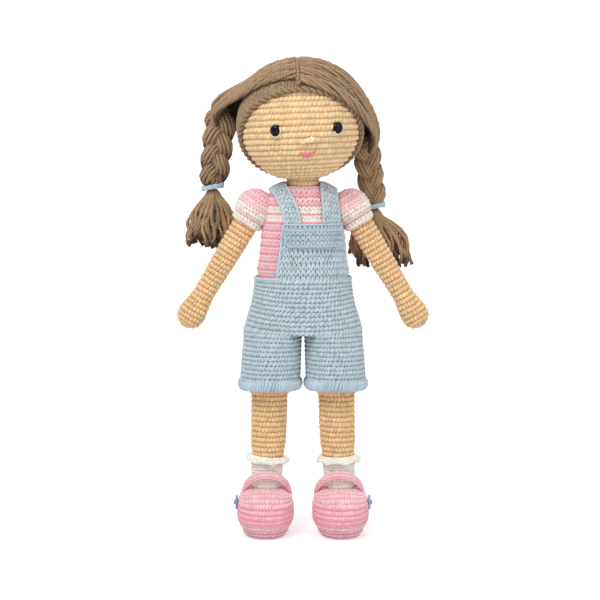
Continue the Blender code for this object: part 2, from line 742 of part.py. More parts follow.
def make_plait(label, side, braid):
    """Three ropes of yarn plaited together: a thick rounded tail with lobes to either side."""
    root = Vector(braid["place"])
    end = root + Vector((side * PLAIT_OUTWARD[label], PLAIT_BACKWARD[label], -PLAIT_LENGTH[label]))
    radius = PLAIT_RADIUS[label]
    rings = []
    knob_steps = 4
    for step in range(1, knob_steps + 1):
        angle = math.pi / 2 * step / (knob_steps + 1)
        around = radius * math.sin(angle)
        rings.append(oval((root.x, root.y, root.z + radius * math.cos(angle)), around, around, SMALL_SIDES))
    steps = 15
    for step in range(steps + 1):
        share = step / steps
        centre = root.lerp(end, share)
        fade = smooth(share * PLAIT_LOBES / 2)
        wave = math.sin(math.pi * PLAIT_LOBES * share)
        around = radius * (1 - PLAIT_TAPER_SHARE * share) * (1 - PLAIT_NECKING_SHARE * fade * (1 - abs(wave)))
        if step == steps:
            around = TIE_RADIUS
        flat = 1 - (1 - PLAIT_DEPTH_SHARE) * fade
        ring_centre = (centre.x + wave * PLAIT_SWAY * fade * side, centre.y, centre.z)
        rings.append(oval(ring_centre, around, around * flat, SMALL_SIDES))
    add_object("plait_" + label, skin_rings(rings), "hair", braid)

    top = end.z - GAP
    low = top - TIE_LENGTH
    tie = [oval((end.x, end.y, level), TIE_RADIUS, TIE_DEPTH, SMALL_SIDES) for level in (top, low)]
    add_object("hair_tie_" + label, skin_rings(tie), "pale_blue", braid)
    return Vector((end.x, end.y, low - GAP - TASSEL_NECK_RADIUS))


def make_tassel(label, side, tassel):
    """The loose yarn ends below the tie, fanned out like a brush under a round gathered head."""
    top = Vector(tassel["place"])
    rings = []
    head_steps = 4
    for step in range(1, head_steps + 1):
        angle = math.pi / 2 * step / (head_steps + 1)
        around = TASSEL_NECK_RADIUS * math.sin(angle)
        height = top.z + TASSEL_NECK_RADIUS * math.cos(angle)
        rings.append(oval((top.x, top.y, height), around, around, LIMB_SIDES))
    for length, spread, depth in TASSEL_SHARES:
        half = TASSEL_NECK_RADIUS + (TASSEL_SPREAD[label] - TASSEL_NECK_RADIUS) * spread
        thick = TASSEL_NECK_RADIUS + (TASSEL_DEPTH - TASSEL_NECK_RADIUS) * depth
        centre = (top.x + TASSEL_LEAN[label] * length, top.y + TASSEL_BACKWARD * length,
                  top.z - (TASSEL_LENGTH[label] - TASSEL_NECK_RADIUS) * length)
        rings.append(oval(centre, half, thick, LIMB_SIDES))
    add_object("tassel_" + label, skin_rings(rings), "hair", tassel)


# Arms
def make_arm(label, side, shoulder):
    """A stuffed arm that hangs from the shoulder, its puff sleeve and the sleeve's hem."""
    centre = Vector(shoulder["place"])
    turn = Matrix.Rotation(-side * ARM_SLOPE, 3, "Y")

    def along(down, radius):
        return [centre + turn @ Vector(point) for point in oval((0, 0, -down), radius, radius, LIMB_SIDES)]

    ball = SLEEVE_RADIUS - SLEEVE_WALL - GAP
    mouth = SLEEVE_RADIUS * math.sin(SLEEVE_MOUTH_ANGLE)
    shoulder_steps = 5
    crown = []
    for step in range(1, shoulder_steps + 1):
        angle = CROWN_START + (math.pi - SLEEVE_MOUTH_ANGLE - CROWN_START) * step / shoulder_steps
        crown.append((-ball * math.cos(angle), ball * math.sin(angle)))
    shape = [(ARM_LENGTH * down, ARM_RADIUS * radius) for down, radius in ARM_SHARES]
    outline = crown + [row for row in shape if row[0] > crown[-1][0]]
    outer = [along(down, radius) for down, radius in outline]
    inner = [along(down, radius - ARM_WALL) for down, radius in outline[1:-2]]
    top = outline[0][0]
    hole = [along(top, ARM_HOLE_RADIUS), along(top + ARM_WALL, ARM_HOLE_RADIUS)]
    add_object("arm_" + label, skin_rings(outer[::-1] + hole + inner), "skin", shoulder)
    inset = ARM_WALL + GAP
    fill = [along(down, radius - inset) for down, radius in outline[2:-3]]
    add_object("arm_stuffing_" + label, skin_rings(fill), "stuffing", shoulder)

    edge = math.pi - SLEEVE_MOUTH_ANGLE
    levels = 6
    outer = []
    inner = []
    bore = SLEEVE_RADIUS - SLEEVE_WALL
    for step in range(levels + 1):
        angle = edge * (step + 0.35) / (levels + 0.35)
        outer.append(along(-SLEEVE_RADIUS * math.cos(angle), SLEEVE_RADIUS * math.sin(angle)))
        inner.append(along(-bore * math.cos(angle), bore * math.sin(angle)))
    add_object("sleeve_" + label, skin_rings(outer + inner[::-1]), "pink", shoulder)

    start = SLEEVE_RADIUS * math.cos(SLEEVE_MOUTH_ANGLE) + GAP
    end = start + SLEEVE_HEM_LENGTH
    arm_there = np.interp(start, [row[0] for row in outline], [row[1] for row in outline])
    inside = max(arm_there, ARM_RADIUS) + 2 * GAP
    outside = max(mouth, inside + SLEEVE_HEM_THICKNESS)
    hem = [along(start, inside), along(start, outside), along(end, outside), along(end, inside)]
    add_object("sleeve_hem_" + label, skin_rings(hem, closed=True), "cream", shoulder)


# Legs
def leg_place(side, drift):
    return side * (LEG_SPREAD_AT_FOOT + (LEG_SPREAD_AT_HIP - LEG_SPREAD_AT_FOOT) * drift)


def leg_rows(side):
    """Rows of the leg as (centre x, height, half width, half depth), foot to hip."""
    seat = SEAT_HEIGHT - SEAT_SPLIT / 2
    rows = []
    for height, drift, radius in SHIN_SHARES:
        rows.append((leg_place(side, drift), height * seat, LEG_RADIUS * radius, LEG_RADIUS * radius))
    for height, drift, width, depth in THIGH_SHARES:
        rows.append((leg_place(side, drift), height * seat, THIGH_RADIUS * width, THIGH_DEPTH * depth))
    return rows


def leg_radius_at(height):
    rows = leg_rows(1)
    return float(np.interp(height, [row[1] for row in rows], [row[2] for row in rows]))


def leg_x_at(side, height):
    rows = leg_rows(side)
    return float(np.interp(height, [row[1] for row in rows], [row[0] for row in rows]))


def hip_ring(row, offset):
    """A ring of the thigh, pushed out by an offset."""
    x, height, half_width, half_depth = row
    return oval((x, 0, height), half_width + offset, half_depth + offset, LIMB_SIDES, THIGH_POWER)


def cut_hip(label, hip, pieces):
    """Round off the thigh's front top edge about the hip hinge, so that the leg can swing forward."""
    hinge = Vector(hip["place"])
    reach = HIP_HINGE_DROP - HIP_HINGE_CLEARANCE
    top = hinge.z + HIP_HINGE_DROP + OVERRUN
    far = hinge.y - HIP_HINGE_DROP - THIGH_DEPTH
    outline = [(hinge.y, top), (far, top), (far, hinge.z)]
    steps = 6
    for step in range(steps + 1):
        angle = math.pi / 2 * step / steps
        outline.append((hinge.y - reach * math.cos(angle), hinge.z + reach * math.sin(angle)))
    half = 2 * THIGH_RADIUS
    rings = [[(hinge.x + x, y, z) for y, z in outline] for x in (-half, half)]
    cutter = cutter_from("hip_clearance_" + label, skin_rings(rings), hip)
    for piece in pieces:
        add_modifier_cut(bpy.data.objects[piece], cutter)


def make_leg(label, side, hip):
    """A stuffed leg with its rounded foot; the thigh fills the leg of the shorts."""
    rows = leg_rows(side)
    shin = len(SHIN_SHARES)
    outer = [oval((x, ANKLE_BACK, z), rx, ry, LIMB_SIDES) for x, z, rx, ry in rows[:shin]]
    outer = [[(px, py - ANKLE_BACK * smooth(z / CUFF_BASE), pz) for px, py, pz in ring]
             for ring, (_, z, _, _) in zip(outer, rows)]
    outer += [hip_ring(row, 0) for row in rows[shin:]]

    def inside(offset, chosen):
        rings = []
        for x, z, rx, ry in chosen:
            back = ANKLE_BACK * (1 - smooth(z / CUFF_BASE)) if z < CUFF_BASE else 0
            if z < CUFF_BASE:
                rings.append(oval((x, back, z), rx - offset, ry - offset, LIMB_SIDES))
            else:
                rings.append(hip_ring((x, z, rx, ry), -offset))
        return rings

    inner = inside(LEG_WALL, rows[LEG_FLOOR_ROWS:])
    add_object("leg_" + label, skin_rings(outer + inner[::-1]), "skin", hip)
    fill_rows = rows[LEG_FLOOR_ROWS + 1:shin] + rows[shin + 1:-1]
    fill = skin_rings(inside(LEG_WALL + LEG_FILL_CLEARANCE, fill_rows))
    add_object("leg_stuffing_" + label, fill, "stuffing", hip)


def shorts_rows(side):
    """Rows of the shorts leg over the thigh, from the cuff up to the seat."""
    seat = SEAT_HEIGHT - SEAT_SPLIT / 2
    shin = len(SHIN_SHARES)
    rows = leg_rows(side)[shin:]
    x, _, rx, ry = rows[0]
    low = (x, CUFF_BASE + CUFF_THICKNESS / 3, rx, ry)
    return [low] + rows[:-1] + [(rows[-1][0], seat, rows[-1][2], rows[-1][3])]


def make_shorts_leg(label, side, hip):
    """One leg of the bib shorts and its turned-up cuff."""
    rows = shorts_rows(side)
    outer = [hip_ring(row, GAP + SHORTS_THICKNESS) for row in rows]
    inner = [hip_ring(row, GAP) for row in rows]
    add_object("shorts_leg_" + label, skin_rings(outer + inner[::-1], closed=True), "blue", hip)

    def cuff_ring(height, offset):
        heights = [row[1] for row in rows]
        x, rx, ry = [float(np.interp(height, heights, [row[column] for row in rows])) for column in (0, 2, 3)]
        return oval((x, 0, height), rx + offset, ry + offset, LIMB_SIDES, THIGH_POWER)

    inside = SHORTS_THICKNESS + 2 * GAP
    cuff_top = CUFF_BASE + CUFF_HEIGHT
    rings = [cuff_ring(CUFF_BASE, inside), cuff_ring(CUFF_BASE, inside + CUFF_THICKNESS),
             cuff_ring(cuff_top, inside + CUFF_THICKNESS * 0.6), cuff_ring(cuff_top, inside)]
    add_object("cuff_" + label, skin_rings(rings, closed=True), "pale_blue", hip)


def make_sock(label, side, hip):
    """A sock drawn over the foot, with a wavy frill round its top."""
    rows = [row for row in leg_rows(side) if row[1] < SOCK_TOP]
    top_radius = leg_radius_at(SOCK_TOP)
    rows.append((leg_x_at(side, SOCK_TOP), SOCK_TOP, top_radius, top_radius))

    def ring(row, offset):
        back = ANKLE_BACK * (1 - smooth(row[1] / CUFF_BASE))
        return oval((row[0], back, row[1]), row[2] + offset, row[3] + offset, LIMB_SIDES)

    outer = [ring(row, GAP + SOCK_THICKNESS) for row in rows]
    inner = [ring(row, GAP) for row in rows]
    foot = rows[0]
    sole = (foot[0], SOCK_BASE, foot[2], foot[3])
    under = (foot[0], foot[1] - GAP, foot[2], foot[3])
    rings = [ring(sole, GAP)] + outer + inner[::-1][:-1] + [ring(under, GAP)]
    add_object("sock_" + label, skin_rings(rings), "cream", hip)

    def frill_ring(height, radius, wave):
        centre = (leg_x_at(side, height), ANKLE_BACK * (1 - smooth(height / CUFF_BASE)), height)
        points = []
        sides = FRILL_WAVES * 4
        for index in range(sides):
            angle = 2 * math.pi * index / sides
            around = radius + wave * math.cos(FRILL_WAVES * angle)
            points.append((centre[0] + around * math.cos(angle), centre[1] + around * math.sin(angle), height))
        return points

    low = FRILL_TOP - FRILL_DROP
    hug = leg_radius_at(FRILL_TOP) + GAP * 2
    over = max(leg_radius_at(SOCK_TOP), leg_radius_at(low)) + SOCK_THICKNESS + 3 * GAP
    frill = [
        frill_ring(FRILL_TOP, hug, 0),
        frill_ring(FRILL_TOP, hug + FRILL_THICKNESS, 0),
        frill_ring(low + FRILL_THICKNESS, FRILL_RADIUS - FRILL_WAVE, FRILL_WAVE),
        frill_ring(low, FRILL_RADIUS - FRILL_WAVE, FRILL_WAVE),
        frill_ring(low, over, 0),
        frill_ring(SOCK_TOP + GAP, over, 0),
    ]
    add_object("sock_frill_" + label, skin_rings(frill, closed=True), "cream", hip)


def shoe_row(side, height, shares, offset=0):
    _, width, length, forward = shares
    x = leg_x_at(side, SOLE_THICKNESS)
    centre = (x, -SHOE_TOE_FORWARD * forward, height)
    return oval(centre, SHOE_WIDTH / 2 * width + offset, SHOE_LENGTH / 2 * length + offset, BODY_SIDES, SHOE_POWER)


def shoe_half_width(height):
    heights = [row[0] * SHOE_HEIGHT for row in SHOE_SHARES]
    return float(np.interp(height, heights, [row[1] for row in SHOE_SHARES])) * SHOE_WIDTH / 2


def make_shoe(label, side, hip):
    """A round-toed strap shoe: sole, upper, strap over the instep, and a flower on the outside."""
    bottom = SHOE_SHARES[0]
    sole = [shoe_row(side, 0, bottom, -SOLE_MARGIN), shoe_row(side, SOLE_THICKNESS / 3, bottom),
            shoe_row(side, SOLE_THICKNESS, bottom)]
    add_object("shoe_sole_" + label, skin_rings(sole), "sole", hip)

    ankle = Vector((leg_x_at(side, SHOE_HEIGHT), ANKLE_BACK * (1 - smooth(SHOE_HEIGHT / 2 / CUFF_BASE)), 0))
    sock = leg_radius_at(SHOE_HEIGHT) + SOCK_THICKNESS + 2 * GAP
    room = sock + abs(leg_x_at(side, SOCK_BASE) - leg_x_at(side, SHOE_HEIGHT)) + GAP
    rings = [shoe_row(side, SOLE_THICKNESS + GAP, bottom)]
    rings += [shoe_row(side, row[0] * SHOE_HEIGHT, row) for row in SHOE_SHARES[1:]]
    shoe = add_object("shoe_" + label, skin_rings(rings), "pink", hip)
    bore = [oval((ankle.x, ankle.y, height), room, room, BODY_SIDES)
            for height in (SOCK_BASE - GAP, SHOE_HEIGHT + OVERRUN)]
    add_modifier_cut(shoe, cutter_from("foot_room_" + label, skin_rings(bore), hip))
    half = SHOE_WIDTH / 2 + OVERRUN
    front = -SHOE_LENGTH / 2 - SHOE_TOE_FORWARD - OVERRUN
    corners = [(-half, front), (half, front), (half, -SHOE_FACING), (-half, -SHOE_FACING)]
    facing = [[(ankle.x + x, y, height) for x, y in corners]
              for height in (SHOE_VAMP_HEIGHT, SHOE_HEIGHT + OVERRUN)]
    add_modifier_cut(shoe, cutter_from("shoe_opening_" + label, skin_rings(facing), hip))

    strap_top = SHOE_HEIGHT - SHOE_STRAP_DROP + SHOE_STRAP_WIDTH / 3
    strap_low = strap_top - SHOE_STRAP_WIDTH

    def strap_surface(row, column):
        angle = math.pi * (1 + row)
        height = strap_low + (strap_top - strap_low) * column
        along = Vector((math.cos(angle), math.sin(angle), 0))
        foot = Vector((ankle.x, -SHOE_FACING - GAP, height))
        tuck = Vector((0, ankle.y + SHOE_FACING + GAP, 0)) * (1 - abs(2 * row - 1) ** 2)
        inner = foot + tuck + along * room
        return inner, inner + along * SHOE_STRAP_THICKNESS

    add_object("shoe_strap_" + label, patch(strap_surface, 14, 1), "pink", hip)

    rings = []
    centre_x = leg_x_at(side, SOLE_THICKNESS)
    near = side * (shoe_half_width(FLOWER_HEIGHT) + GAP)
    sides = FLOWER_PETALS * 4
    for depth, share in ((0, 0.8), (FLOWER_THICKNESS * 0.5, 1.0), (FLOWER_THICKNESS, 0.7)):
        ring = []
        for index in range(sides):
            angle = 2 * math.pi * index / sides
            petal = 1 + FLOWER_PETAL_SHARE * math.cos(FLOWER_PETALS * angle)
            radius = FLOWER_RADIUS * share * petal
            ring.append((centre_x + near + side * depth, -FLOWER_FORWARD + radius * math.cos(angle),
                         FLOWER_HEIGHT + radius * math.sin(angle)))
        rings.append(ring)
    add_object("shoe_flower_" + label, skin_rings(rings), "flower", hip)


# Overalls above the seat
def make_shorts_waist(root):
    """The top of the shorts, drawn over the lower shirt."""
    seat = SEAT_HEIGHT + SEAT_SPLIT / 2
    heights = torso_heights(seat, SEAT_HEIGHT + SHORTS_RISE)
    outer = [torso_ring(height, GAP + SHORTS_THICKNESS) for height in heights]
    inner = [torso_ring(height, GAP) for height in heights]
    add_object("shorts_waist", skin_rings(outer + inner[::-1], closed=True), "blue", root)


def torso_side(angle, height, offset):
    """A point round the body: angle 0 is the front, positive towards the doll's left."""
    half_width, half_depth = torso_at(height)
    sin = math.sin(angle)
    cos = math.cos(angle)
    return Vector(((half_width + offset) * math.copysign(abs(sin) ** (2 / BODY_POWER), sin),
                   -(half_depth + offset) * math.copysign(abs(cos) ** (2 / BODY_POWER), cos), height))


def make_bib(root):
    """The bib with its turned-down flap, set a little towards the doll's left as in the picture."""
    low = SEAT_HEIGHT + SHORTS_RISE + GAP
    high = low + BIB_HEIGHT

    def bib_surface(row, column):
        height = low + BIB_HEIGHT * column
        spread = BIB_SPREAD * (1 - BIB_NARROWING_SHARE * column)
        angle = GARMENT_TWIST + (2 * row - 1) * spread
        outer = BIB_CLEARANCE + BIB_THICKNESS
        return torso_side(angle, height, BIB_CLEARANCE), torso_side(angle, height, outer)

    add_object("bib", patch(bib_surface, 10, 6), "blue", root)
    flap_top = high - FLAP_DROP

    def flap_surface(row, column):
        height = flap_top - FLAP_HEIGHT * (1 - column)
        angle = GARMENT_TWIST + (2 * row - 1) * FLAP_SPREAD
        lift = BIB_CLEARANCE + BIB_THICKNESS + 2 * GAP
        return torso_side(angle, height, lift), torso_side(angle, height, lift + FLAP_THICKNESS)

    add_object("bib_flap", patch(flap_surface, 10, 2), "blue", root)
    return high


def shoulder_top(across):
    """The height at which the body's side view closes at a distance across."""
    low = SEAT_HEIGHT + 0.75 * TORSO_LENGTH
    high = COLLAR_HEIGHT
    for _ in range(40):
        middle = (low + high) / 2
        if torso_at(middle)[0] > abs(across):
            low = middle
        else:
            high = middle
    return low


def make_straps(root, bib_top):
    """Straps from the bib over the shoulders and down the back to the waist."""
    waist = SEAT_HEIGHT + SHORTS_RISE + STRAP_THICKNESS
    for label, side in SIDES:
        corner = torso_side(GARMENT_TWIST + side * BIB_SPREAD * STRAP_SPREAD_SHARES[label], bib_top, 0).x

        def strap_surface(row, column):
            across = (2 * column - 1) * STRAP_WIDTH / 2
            if row <= 0.5:
                share = row * 2
                x = corner + (side * STRAP_OFFSET - corner) * smooth(share * 1.1) + across
                top = shoulder_top(x)
                rise = math.sin(share * math.pi / 2)
                height = bib_top + GAP + (top - bib_top - GAP) * rise
                facing = -1
            else:
                share = row * 2 - 1
                x = side * (STRAP_OFFSET + (STRAP_BACK_OFFSET - STRAP_OFFSET) * share) + across
                top = shoulder_top(x)
                fall = 1 - math.cos(share * math.pi / 2)
                height = top + (waist - top) * fall
                facing = 1
            point, normal = torso_front(x, height, facing)
            if row == 0.5:
                normal = Vector((normal.x, 0, normal.z)).normalized()
            return point + normal * GARMENT_CLEARANCE, point + normal * (GARMENT_CLEARANCE + STRAP_THICKNESS)

        add_object("strap_" + label, patch(strap_surface, 22, 1), "blue", root)


def build_doll():
    clear_scene()
    root = pivot("body_base", (0, 0, 0))
    make_torso(root)
    cut_shoulders(root)
    make_neck(root)
    make_shorts_waist(root)
    bib_top = make_bib(root)
    make_straps(root, bib_top)

    neck = pivot("neck_pivot", NECK_PIVOT, root)
    lean = pivot("head_lean", NECK_PIVOT, neck)
    lean.rotation_euler = (0, HEAD_LEAN, 0)
    lean_turn = Matrix.Rotation(HEAD_LEAN, 3, "Y")
    head, stuffing = make_head(lean)
    make_eyes(lean, head, stuffing)
    make_nose(lean)
    make_mouth(lean)
    make_wig_cap(lean)
    make_parting(lean)
    make_hair(lean, lean_turn)

    for label, side in SIDES:
        braid = pivot("braid_pivot_" + label, plait_root(label), neck)
        tassel_place = make_plait(label, side, braid)
        tassel = pivot("tassel_pivot_" + label, tassel_place, braid)
        make_tassel(label, side, tassel)
        shoulder = pivot("shoulder_pivot_" + label, shoulder_centre(side), root)
        make_arm(label, side, shoulder)
        hinge = (leg_place(side, 1), -HIP_HINGE_FORWARD, SEAT_HEIGHT - HIP_HINGE_DROP)
        hip = pivot("hip_pivot_" + label, hinge, root)
        make_leg(label, side, hip)
        make_shorts_leg(label, side, hip)
        cut_hip(label, hip, ("leg_" + label, "shorts_leg_" + label))
        make_sock(label, side, hip)
        make_shoe(label, side, hip)


build_doll()
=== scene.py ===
# %% [markdown]
# # A crocheted doll, stitch by stitch
# The real doll is a set of stuffed crocheted pieces: a head with a wig of yarn, a body worked as a shirt,
# arms, legs, bib shorts, socks and shoes. It could be modelled as smooth forms with a crochet picture on
# them, but then its edges would be smooth too. Here every stitch is a small piece of yarn, laid on a
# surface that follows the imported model, so that the outline is knobbly as on the real one.
#
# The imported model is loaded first. It holds every sub-part at its real size, in metres, and nothing in it
# is moved.

# %% Load the frame
import math
import bpy
import numpy as np
from mathutils import Matrix, Vector, noise
from mathutils.bvhtree import BVHTree


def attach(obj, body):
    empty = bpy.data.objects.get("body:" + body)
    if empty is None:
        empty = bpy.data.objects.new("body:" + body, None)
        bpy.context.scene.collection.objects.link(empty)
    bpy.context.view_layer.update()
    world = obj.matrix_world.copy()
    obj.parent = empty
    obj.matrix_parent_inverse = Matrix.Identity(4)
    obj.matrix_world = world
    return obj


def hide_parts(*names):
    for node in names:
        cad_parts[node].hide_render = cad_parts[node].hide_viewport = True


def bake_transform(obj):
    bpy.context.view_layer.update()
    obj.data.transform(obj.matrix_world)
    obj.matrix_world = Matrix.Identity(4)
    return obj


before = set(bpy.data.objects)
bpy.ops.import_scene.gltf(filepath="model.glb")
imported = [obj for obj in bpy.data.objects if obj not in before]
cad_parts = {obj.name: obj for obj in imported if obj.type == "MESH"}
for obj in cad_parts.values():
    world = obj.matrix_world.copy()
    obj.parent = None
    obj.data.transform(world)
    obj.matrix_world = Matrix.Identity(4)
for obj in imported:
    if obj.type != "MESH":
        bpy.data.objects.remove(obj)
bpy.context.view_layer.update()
rng = np.random.default_rng(7)
MM = 0.001
SIDES = (("left", 1), ("right", -1))

# %% [markdown]
# ## Smooth shapes from a few rows
# A stuffed tube swells and narrows gently. It could be a subdivided cage, but a table of half sizes at a few
# heights is easier to read and to check against the solids. The rows are joined with straight lines, and a
# short moving average rounds the corners off. The rings are superellipses: a power of 2 is an ellipse, and a
# little more than 2 squares it off.

# %% Curves through rows of sizes
def profile(rows, blur=10):
    rows = np.array(rows, float)
    fine = np.linspace(rows[0, 0], rows[-1, 0], 240)
    kernel = np.hanning(2 * blur + 3)[1:-1]
    kernel /= kernel.sum()
    columns = []
    for index in range(1, rows.shape[1]):
        line = np.interp(fine, rows[:, 0], rows[:, index])
        columns.append(np.convolve(np.pad(line, blur, "reflect", reflect_type="odd"), kernel, "valid"))
    return lambda at, column=0: np.interp(at, fine, columns[column])


def ring_xy(u, half_x, half_y, power):
    cos = np.cos(2 * np.pi * u)
    sin = np.sin(2 * np.pi * u)
    return (half_x * np.sign(cos) * np.abs(cos) ** (2 / power),
            half_y * np.sign(sin) * np.abs(sin) ** (2 / power))


def unit(vectors):
    return vectors / np.maximum(np.linalg.norm(vectors, axis=-1, keepdims=True), 1e-12)


def ease(value):
    """A smooth step from 0 to 1."""
    value = np.clip(value, 0, 1)
    return value * value * (3 - 2 * value)


print("half a smooth step is", ease(0.5), "and a quarter is", ease(0.25))

# %% [markdown]
# ## Yarn as a tube
# Yarn is two or more plies twisted together. A Blender curve with a round bevel would give a plain cord.
# Here a ring of points is carried along the path instead. Its radius has a lobe for each ply, and the lobes
# turn as the yarn runs along, which is what makes it look twisted. Many yarns with the same number of
# points are swept at once, because a loop over thousands of single yarns would be slow. The first cell
# makes the faces: quads along the tube and a flat cap of quads at each end.

# %% Faces of a tube
CAPS = {6: [(0, 1, 2, 3), (0, 3, 4, 5)], 8: [(0, 1, 2, 3), (0, 3, 4, 7), (4, 5, 6, 7)],
        10: [(0, 1, 2, 3), (0, 3, 4, 9), (4, 5, 8, 9), (5, 6, 7, 8)]}


def grid_quads(rows, columns, closed):
    """Quads between the points of a grid, which may close on itself along its rows."""
    row, column = np.meshgrid(np.arange(rows - 1), np.arange(columns if closed else columns - 1),
                              indexing="ij")
    after = (column + 1) % columns
    return np.stack((row * columns + column, row * columns + after, (row + 1) * columns + after,
                     (row + 1) * columns + column), axis=-1).reshape(-1, 4)


def tube_quads(steps, sides):
    near = [quad[::-1] for quad in CAPS[sides]]
    far = [[(steps - 1) * sides + place for place in quad] for quad in CAPS[sides]]
    return np.concatenate((grid_quads(steps, sides, True), np.array(near + far)))


print("a yarn with 24 steps and 6 sides has", len(tube_quads(24, 6)), "faces")

# %% [markdown]
# A ring needs a direction to start from at every step. If each step chose its own, the tube would twist on
# itself, so the first direction is carried along and only straightened against the path. The UVs run along
# the yarn in millimetres and once round it, and the materials use them for the plies.

# %% Sweep many yarns at once
def carried_normals(tangent, start_normal):
    normal = np.zeros_like(tangent)
    current = np.broadcast_to(start_normal, (len(tangent), 3))
    for step in range(tangent.shape[1]):
        along = tangent[:, step]
        current = unit(current - along * np.sum(current * along, axis=1, keepdims=True))
        normal[:, step] = current
    return normal


def sweep(paths, radius, sides=6, plies=2, lobe=0.0, turns_per_mm=0.12, flat=1.0, start_normal=None):
    """Tubes along many paths. Gives points, quads, UVs and how deep each point lies between two plies."""
    paths = np.asarray(paths, float)
    count, steps, _ = paths.shape
    tangent = unit(np.gradient(paths, axis=1))
    if start_normal is None:
        start_normal = np.where(np.abs(tangent[:, 0, 2:3]) < 0.8, (0.0, 0.0, 1.0), (1.0, 0.0, 0.0))
    normal = carried_normals(tangent, start_normal)
    binormal = np.cross(tangent, normal)
    gaps = np.linalg.norm(np.diff(paths, axis=1), axis=2)
    along = np.concatenate((np.zeros((count, 1)), np.cumsum(gaps, axis=1)), axis=1) / MM
    angle = 2 * np.pi * np.arange(sides) / sides
    phase = 2 * np.pi * turns_per_mm * along[:, :, None]
    size = np.broadcast_to(np.asarray(radius, float), (count, steps))[:, :, None]
    size = size * (1 + lobe * np.cos(plies * angle[None, None, :] - phase))
    across = (size * np.cos(angle))[..., None] * normal[:, :, None, :]
    up = (size * flat * np.sin(angle))[..., None] * binormal[:, :, None, :]
    verts = (paths[:, :, None, :] + across + up).reshape(-1, 3)
    quads = tube_quads(steps, sides)
    all_quads = (quads[None] + (np.arange(count) * steps * sides)[:, None, None]).reshape(-1, 4)
    step, side = np.meshgrid(np.arange(steps - 1), np.arange(sides), indexing="ij")
    turn = np.stack((side, side + 1, side + 1, side), axis=-1).reshape(-1, 4) / sides
    row = np.stack((step, step, step + 1, step + 1), axis=-1).reshape(-1, 4)
    uv = np.zeros((count, len(quads), 4, 2))
    uv[:, :len(row), :, 0] = along[:, row]
    uv[:, :len(row), :, 1] = turn[None]
    between = 0.5 - 0.5 * np.cos(plies * angle[None, None, :] - phase)
    valley = np.broadcast_to(lobe > 0, (count, steps, sides)) * between
    return verts, all_quads, uv.reshape(-1, 4, 2), valley.ravel()


bent = np.array([[(0, 0, 0), (0, 1, 0), (0, 2, 1)]]) * MM
print("one bent yarn has", len(sweep(bent, 1 * MM)[0]), "points")

# %% [markdown]
# ## One piece, many yarns
# Each sub-part of the doll has to be one object, however many stitches it has. A piece gathers stitches,
# yarns and a backing cloth, and becomes one mesh, which is filled from whole arrays because that is many
# times faster than adding points one by one. Every point carries a tone, a small random lightness for its
# stitch, and a depth, which tells the material how far down between the yarns it is.
# The depth is painted shade: the material blends a point towards its yarn's shade colour the lower it lies,
# and the backing cloth, with the full depth and a lower tone, is painted in shade.

# %% Gather geometry into a piece
class Piece:
    def __init__(self, name):
        self.name = name
        self.parts = []

    def add(self, verts, quads, uv=None, tone=0.0, depth=0.0, slot=0):
        count = len(verts)
        if uv is None:
            uv = np.zeros((len(quads), 4, 2))
        self.parts.append((np.asarray(verts, float), np.asarray(quads, int), uv,
                           np.broadcast_to(np.asarray(tone, float), (count,)),
                           np.broadcast_to(np.asarray(depth, float), (count,)),
                           np.broadcast_to(np.asarray(slot, int), (len(quads),))))
        return self

    def make(self, body, materials, nodes=()):
        starts = np.cumsum([0] + [len(part[0]) for part in self.parts[:-1]])
        verts = np.concatenate([part[0] for part in self.parts])
        quads = np.concatenate([part[1] + start for part, start in zip(self.parts, starts)])
        uv = np.concatenate([part[2] for part in self.parts])
        mesh = bpy.data.meshes.new(self.name)
        mesh.vertices.add(len(verts))
        mesh.vertices.foreach_set("co", verts.astype(np.float32).ravel())
        mesh.loops.add(len(quads) * 4)
        mesh.loops.foreach_set("vertex_index", quads.astype(np.int32).ravel())
        mesh.polygons.add(len(quads))
        mesh.polygons.foreach_set("loop_start", np.arange(0, len(quads) * 4, 4, dtype=np.int32))
        mesh.update(calc_edges=True)
        layer = mesh.uv_layers.new(name="yarn")
        layer.uv.foreach_set("vector", uv.astype(np.float32).ravel())
        for label, index in (("tone", 3), ("depth", 4)):
            values = np.concatenate([part[index] for part in self.parts])
            mesh.attributes.new(label, "FLOAT", "POINT").data.foreach_set("value", values.astype(np.float32))
        for material in materials:
            mesh.materials.append(material)
        slots = np.concatenate([part[5] for part in self.parts])
        mesh.polygons.foreach_set("material_index", slots.astype(np.int32))
        mesh.shade_smooth()
        obj = bpy.data.objects.new(self.name, mesh)
        bpy.context.collection.objects.link(obj)
        if isinstance(body, str):
            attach(obj, body)
        else:
            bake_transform(obj)
        if nodes:
            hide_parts(*nodes)
        print(self.name, "faces", len(mesh.polygons))
        return obj


def cord(piece, path, radius, sides=8, lobe=0.12, turns_per_mm=0.13, tone=0.0, depth=0.5, slot=0):
    """Add one yarn along a path to a piece."""
    verts, quads, uv, valley = sweep(np.asarray(path)[None], radius, sides, lobe=lobe,
                                     turns_per_mm=turns_per_mm)
    # Painted shade: the grooves between the plies get depth, which darkens them.
    piece.add(verts, quads, uv, tone, valley * depth, slot)


# %% [markdown]
# ## The stitch of the shirt and bib
# Crochet worked in rounds shows a row of small Vs. One such stitch is two short fat yarns that lean apart and
# arch outwards. It could be sculpted, but a few sines give the same form with six numbers. It is made once,
# flat and in shares of its own width and height, so that it can be bent onto any surface afterwards.

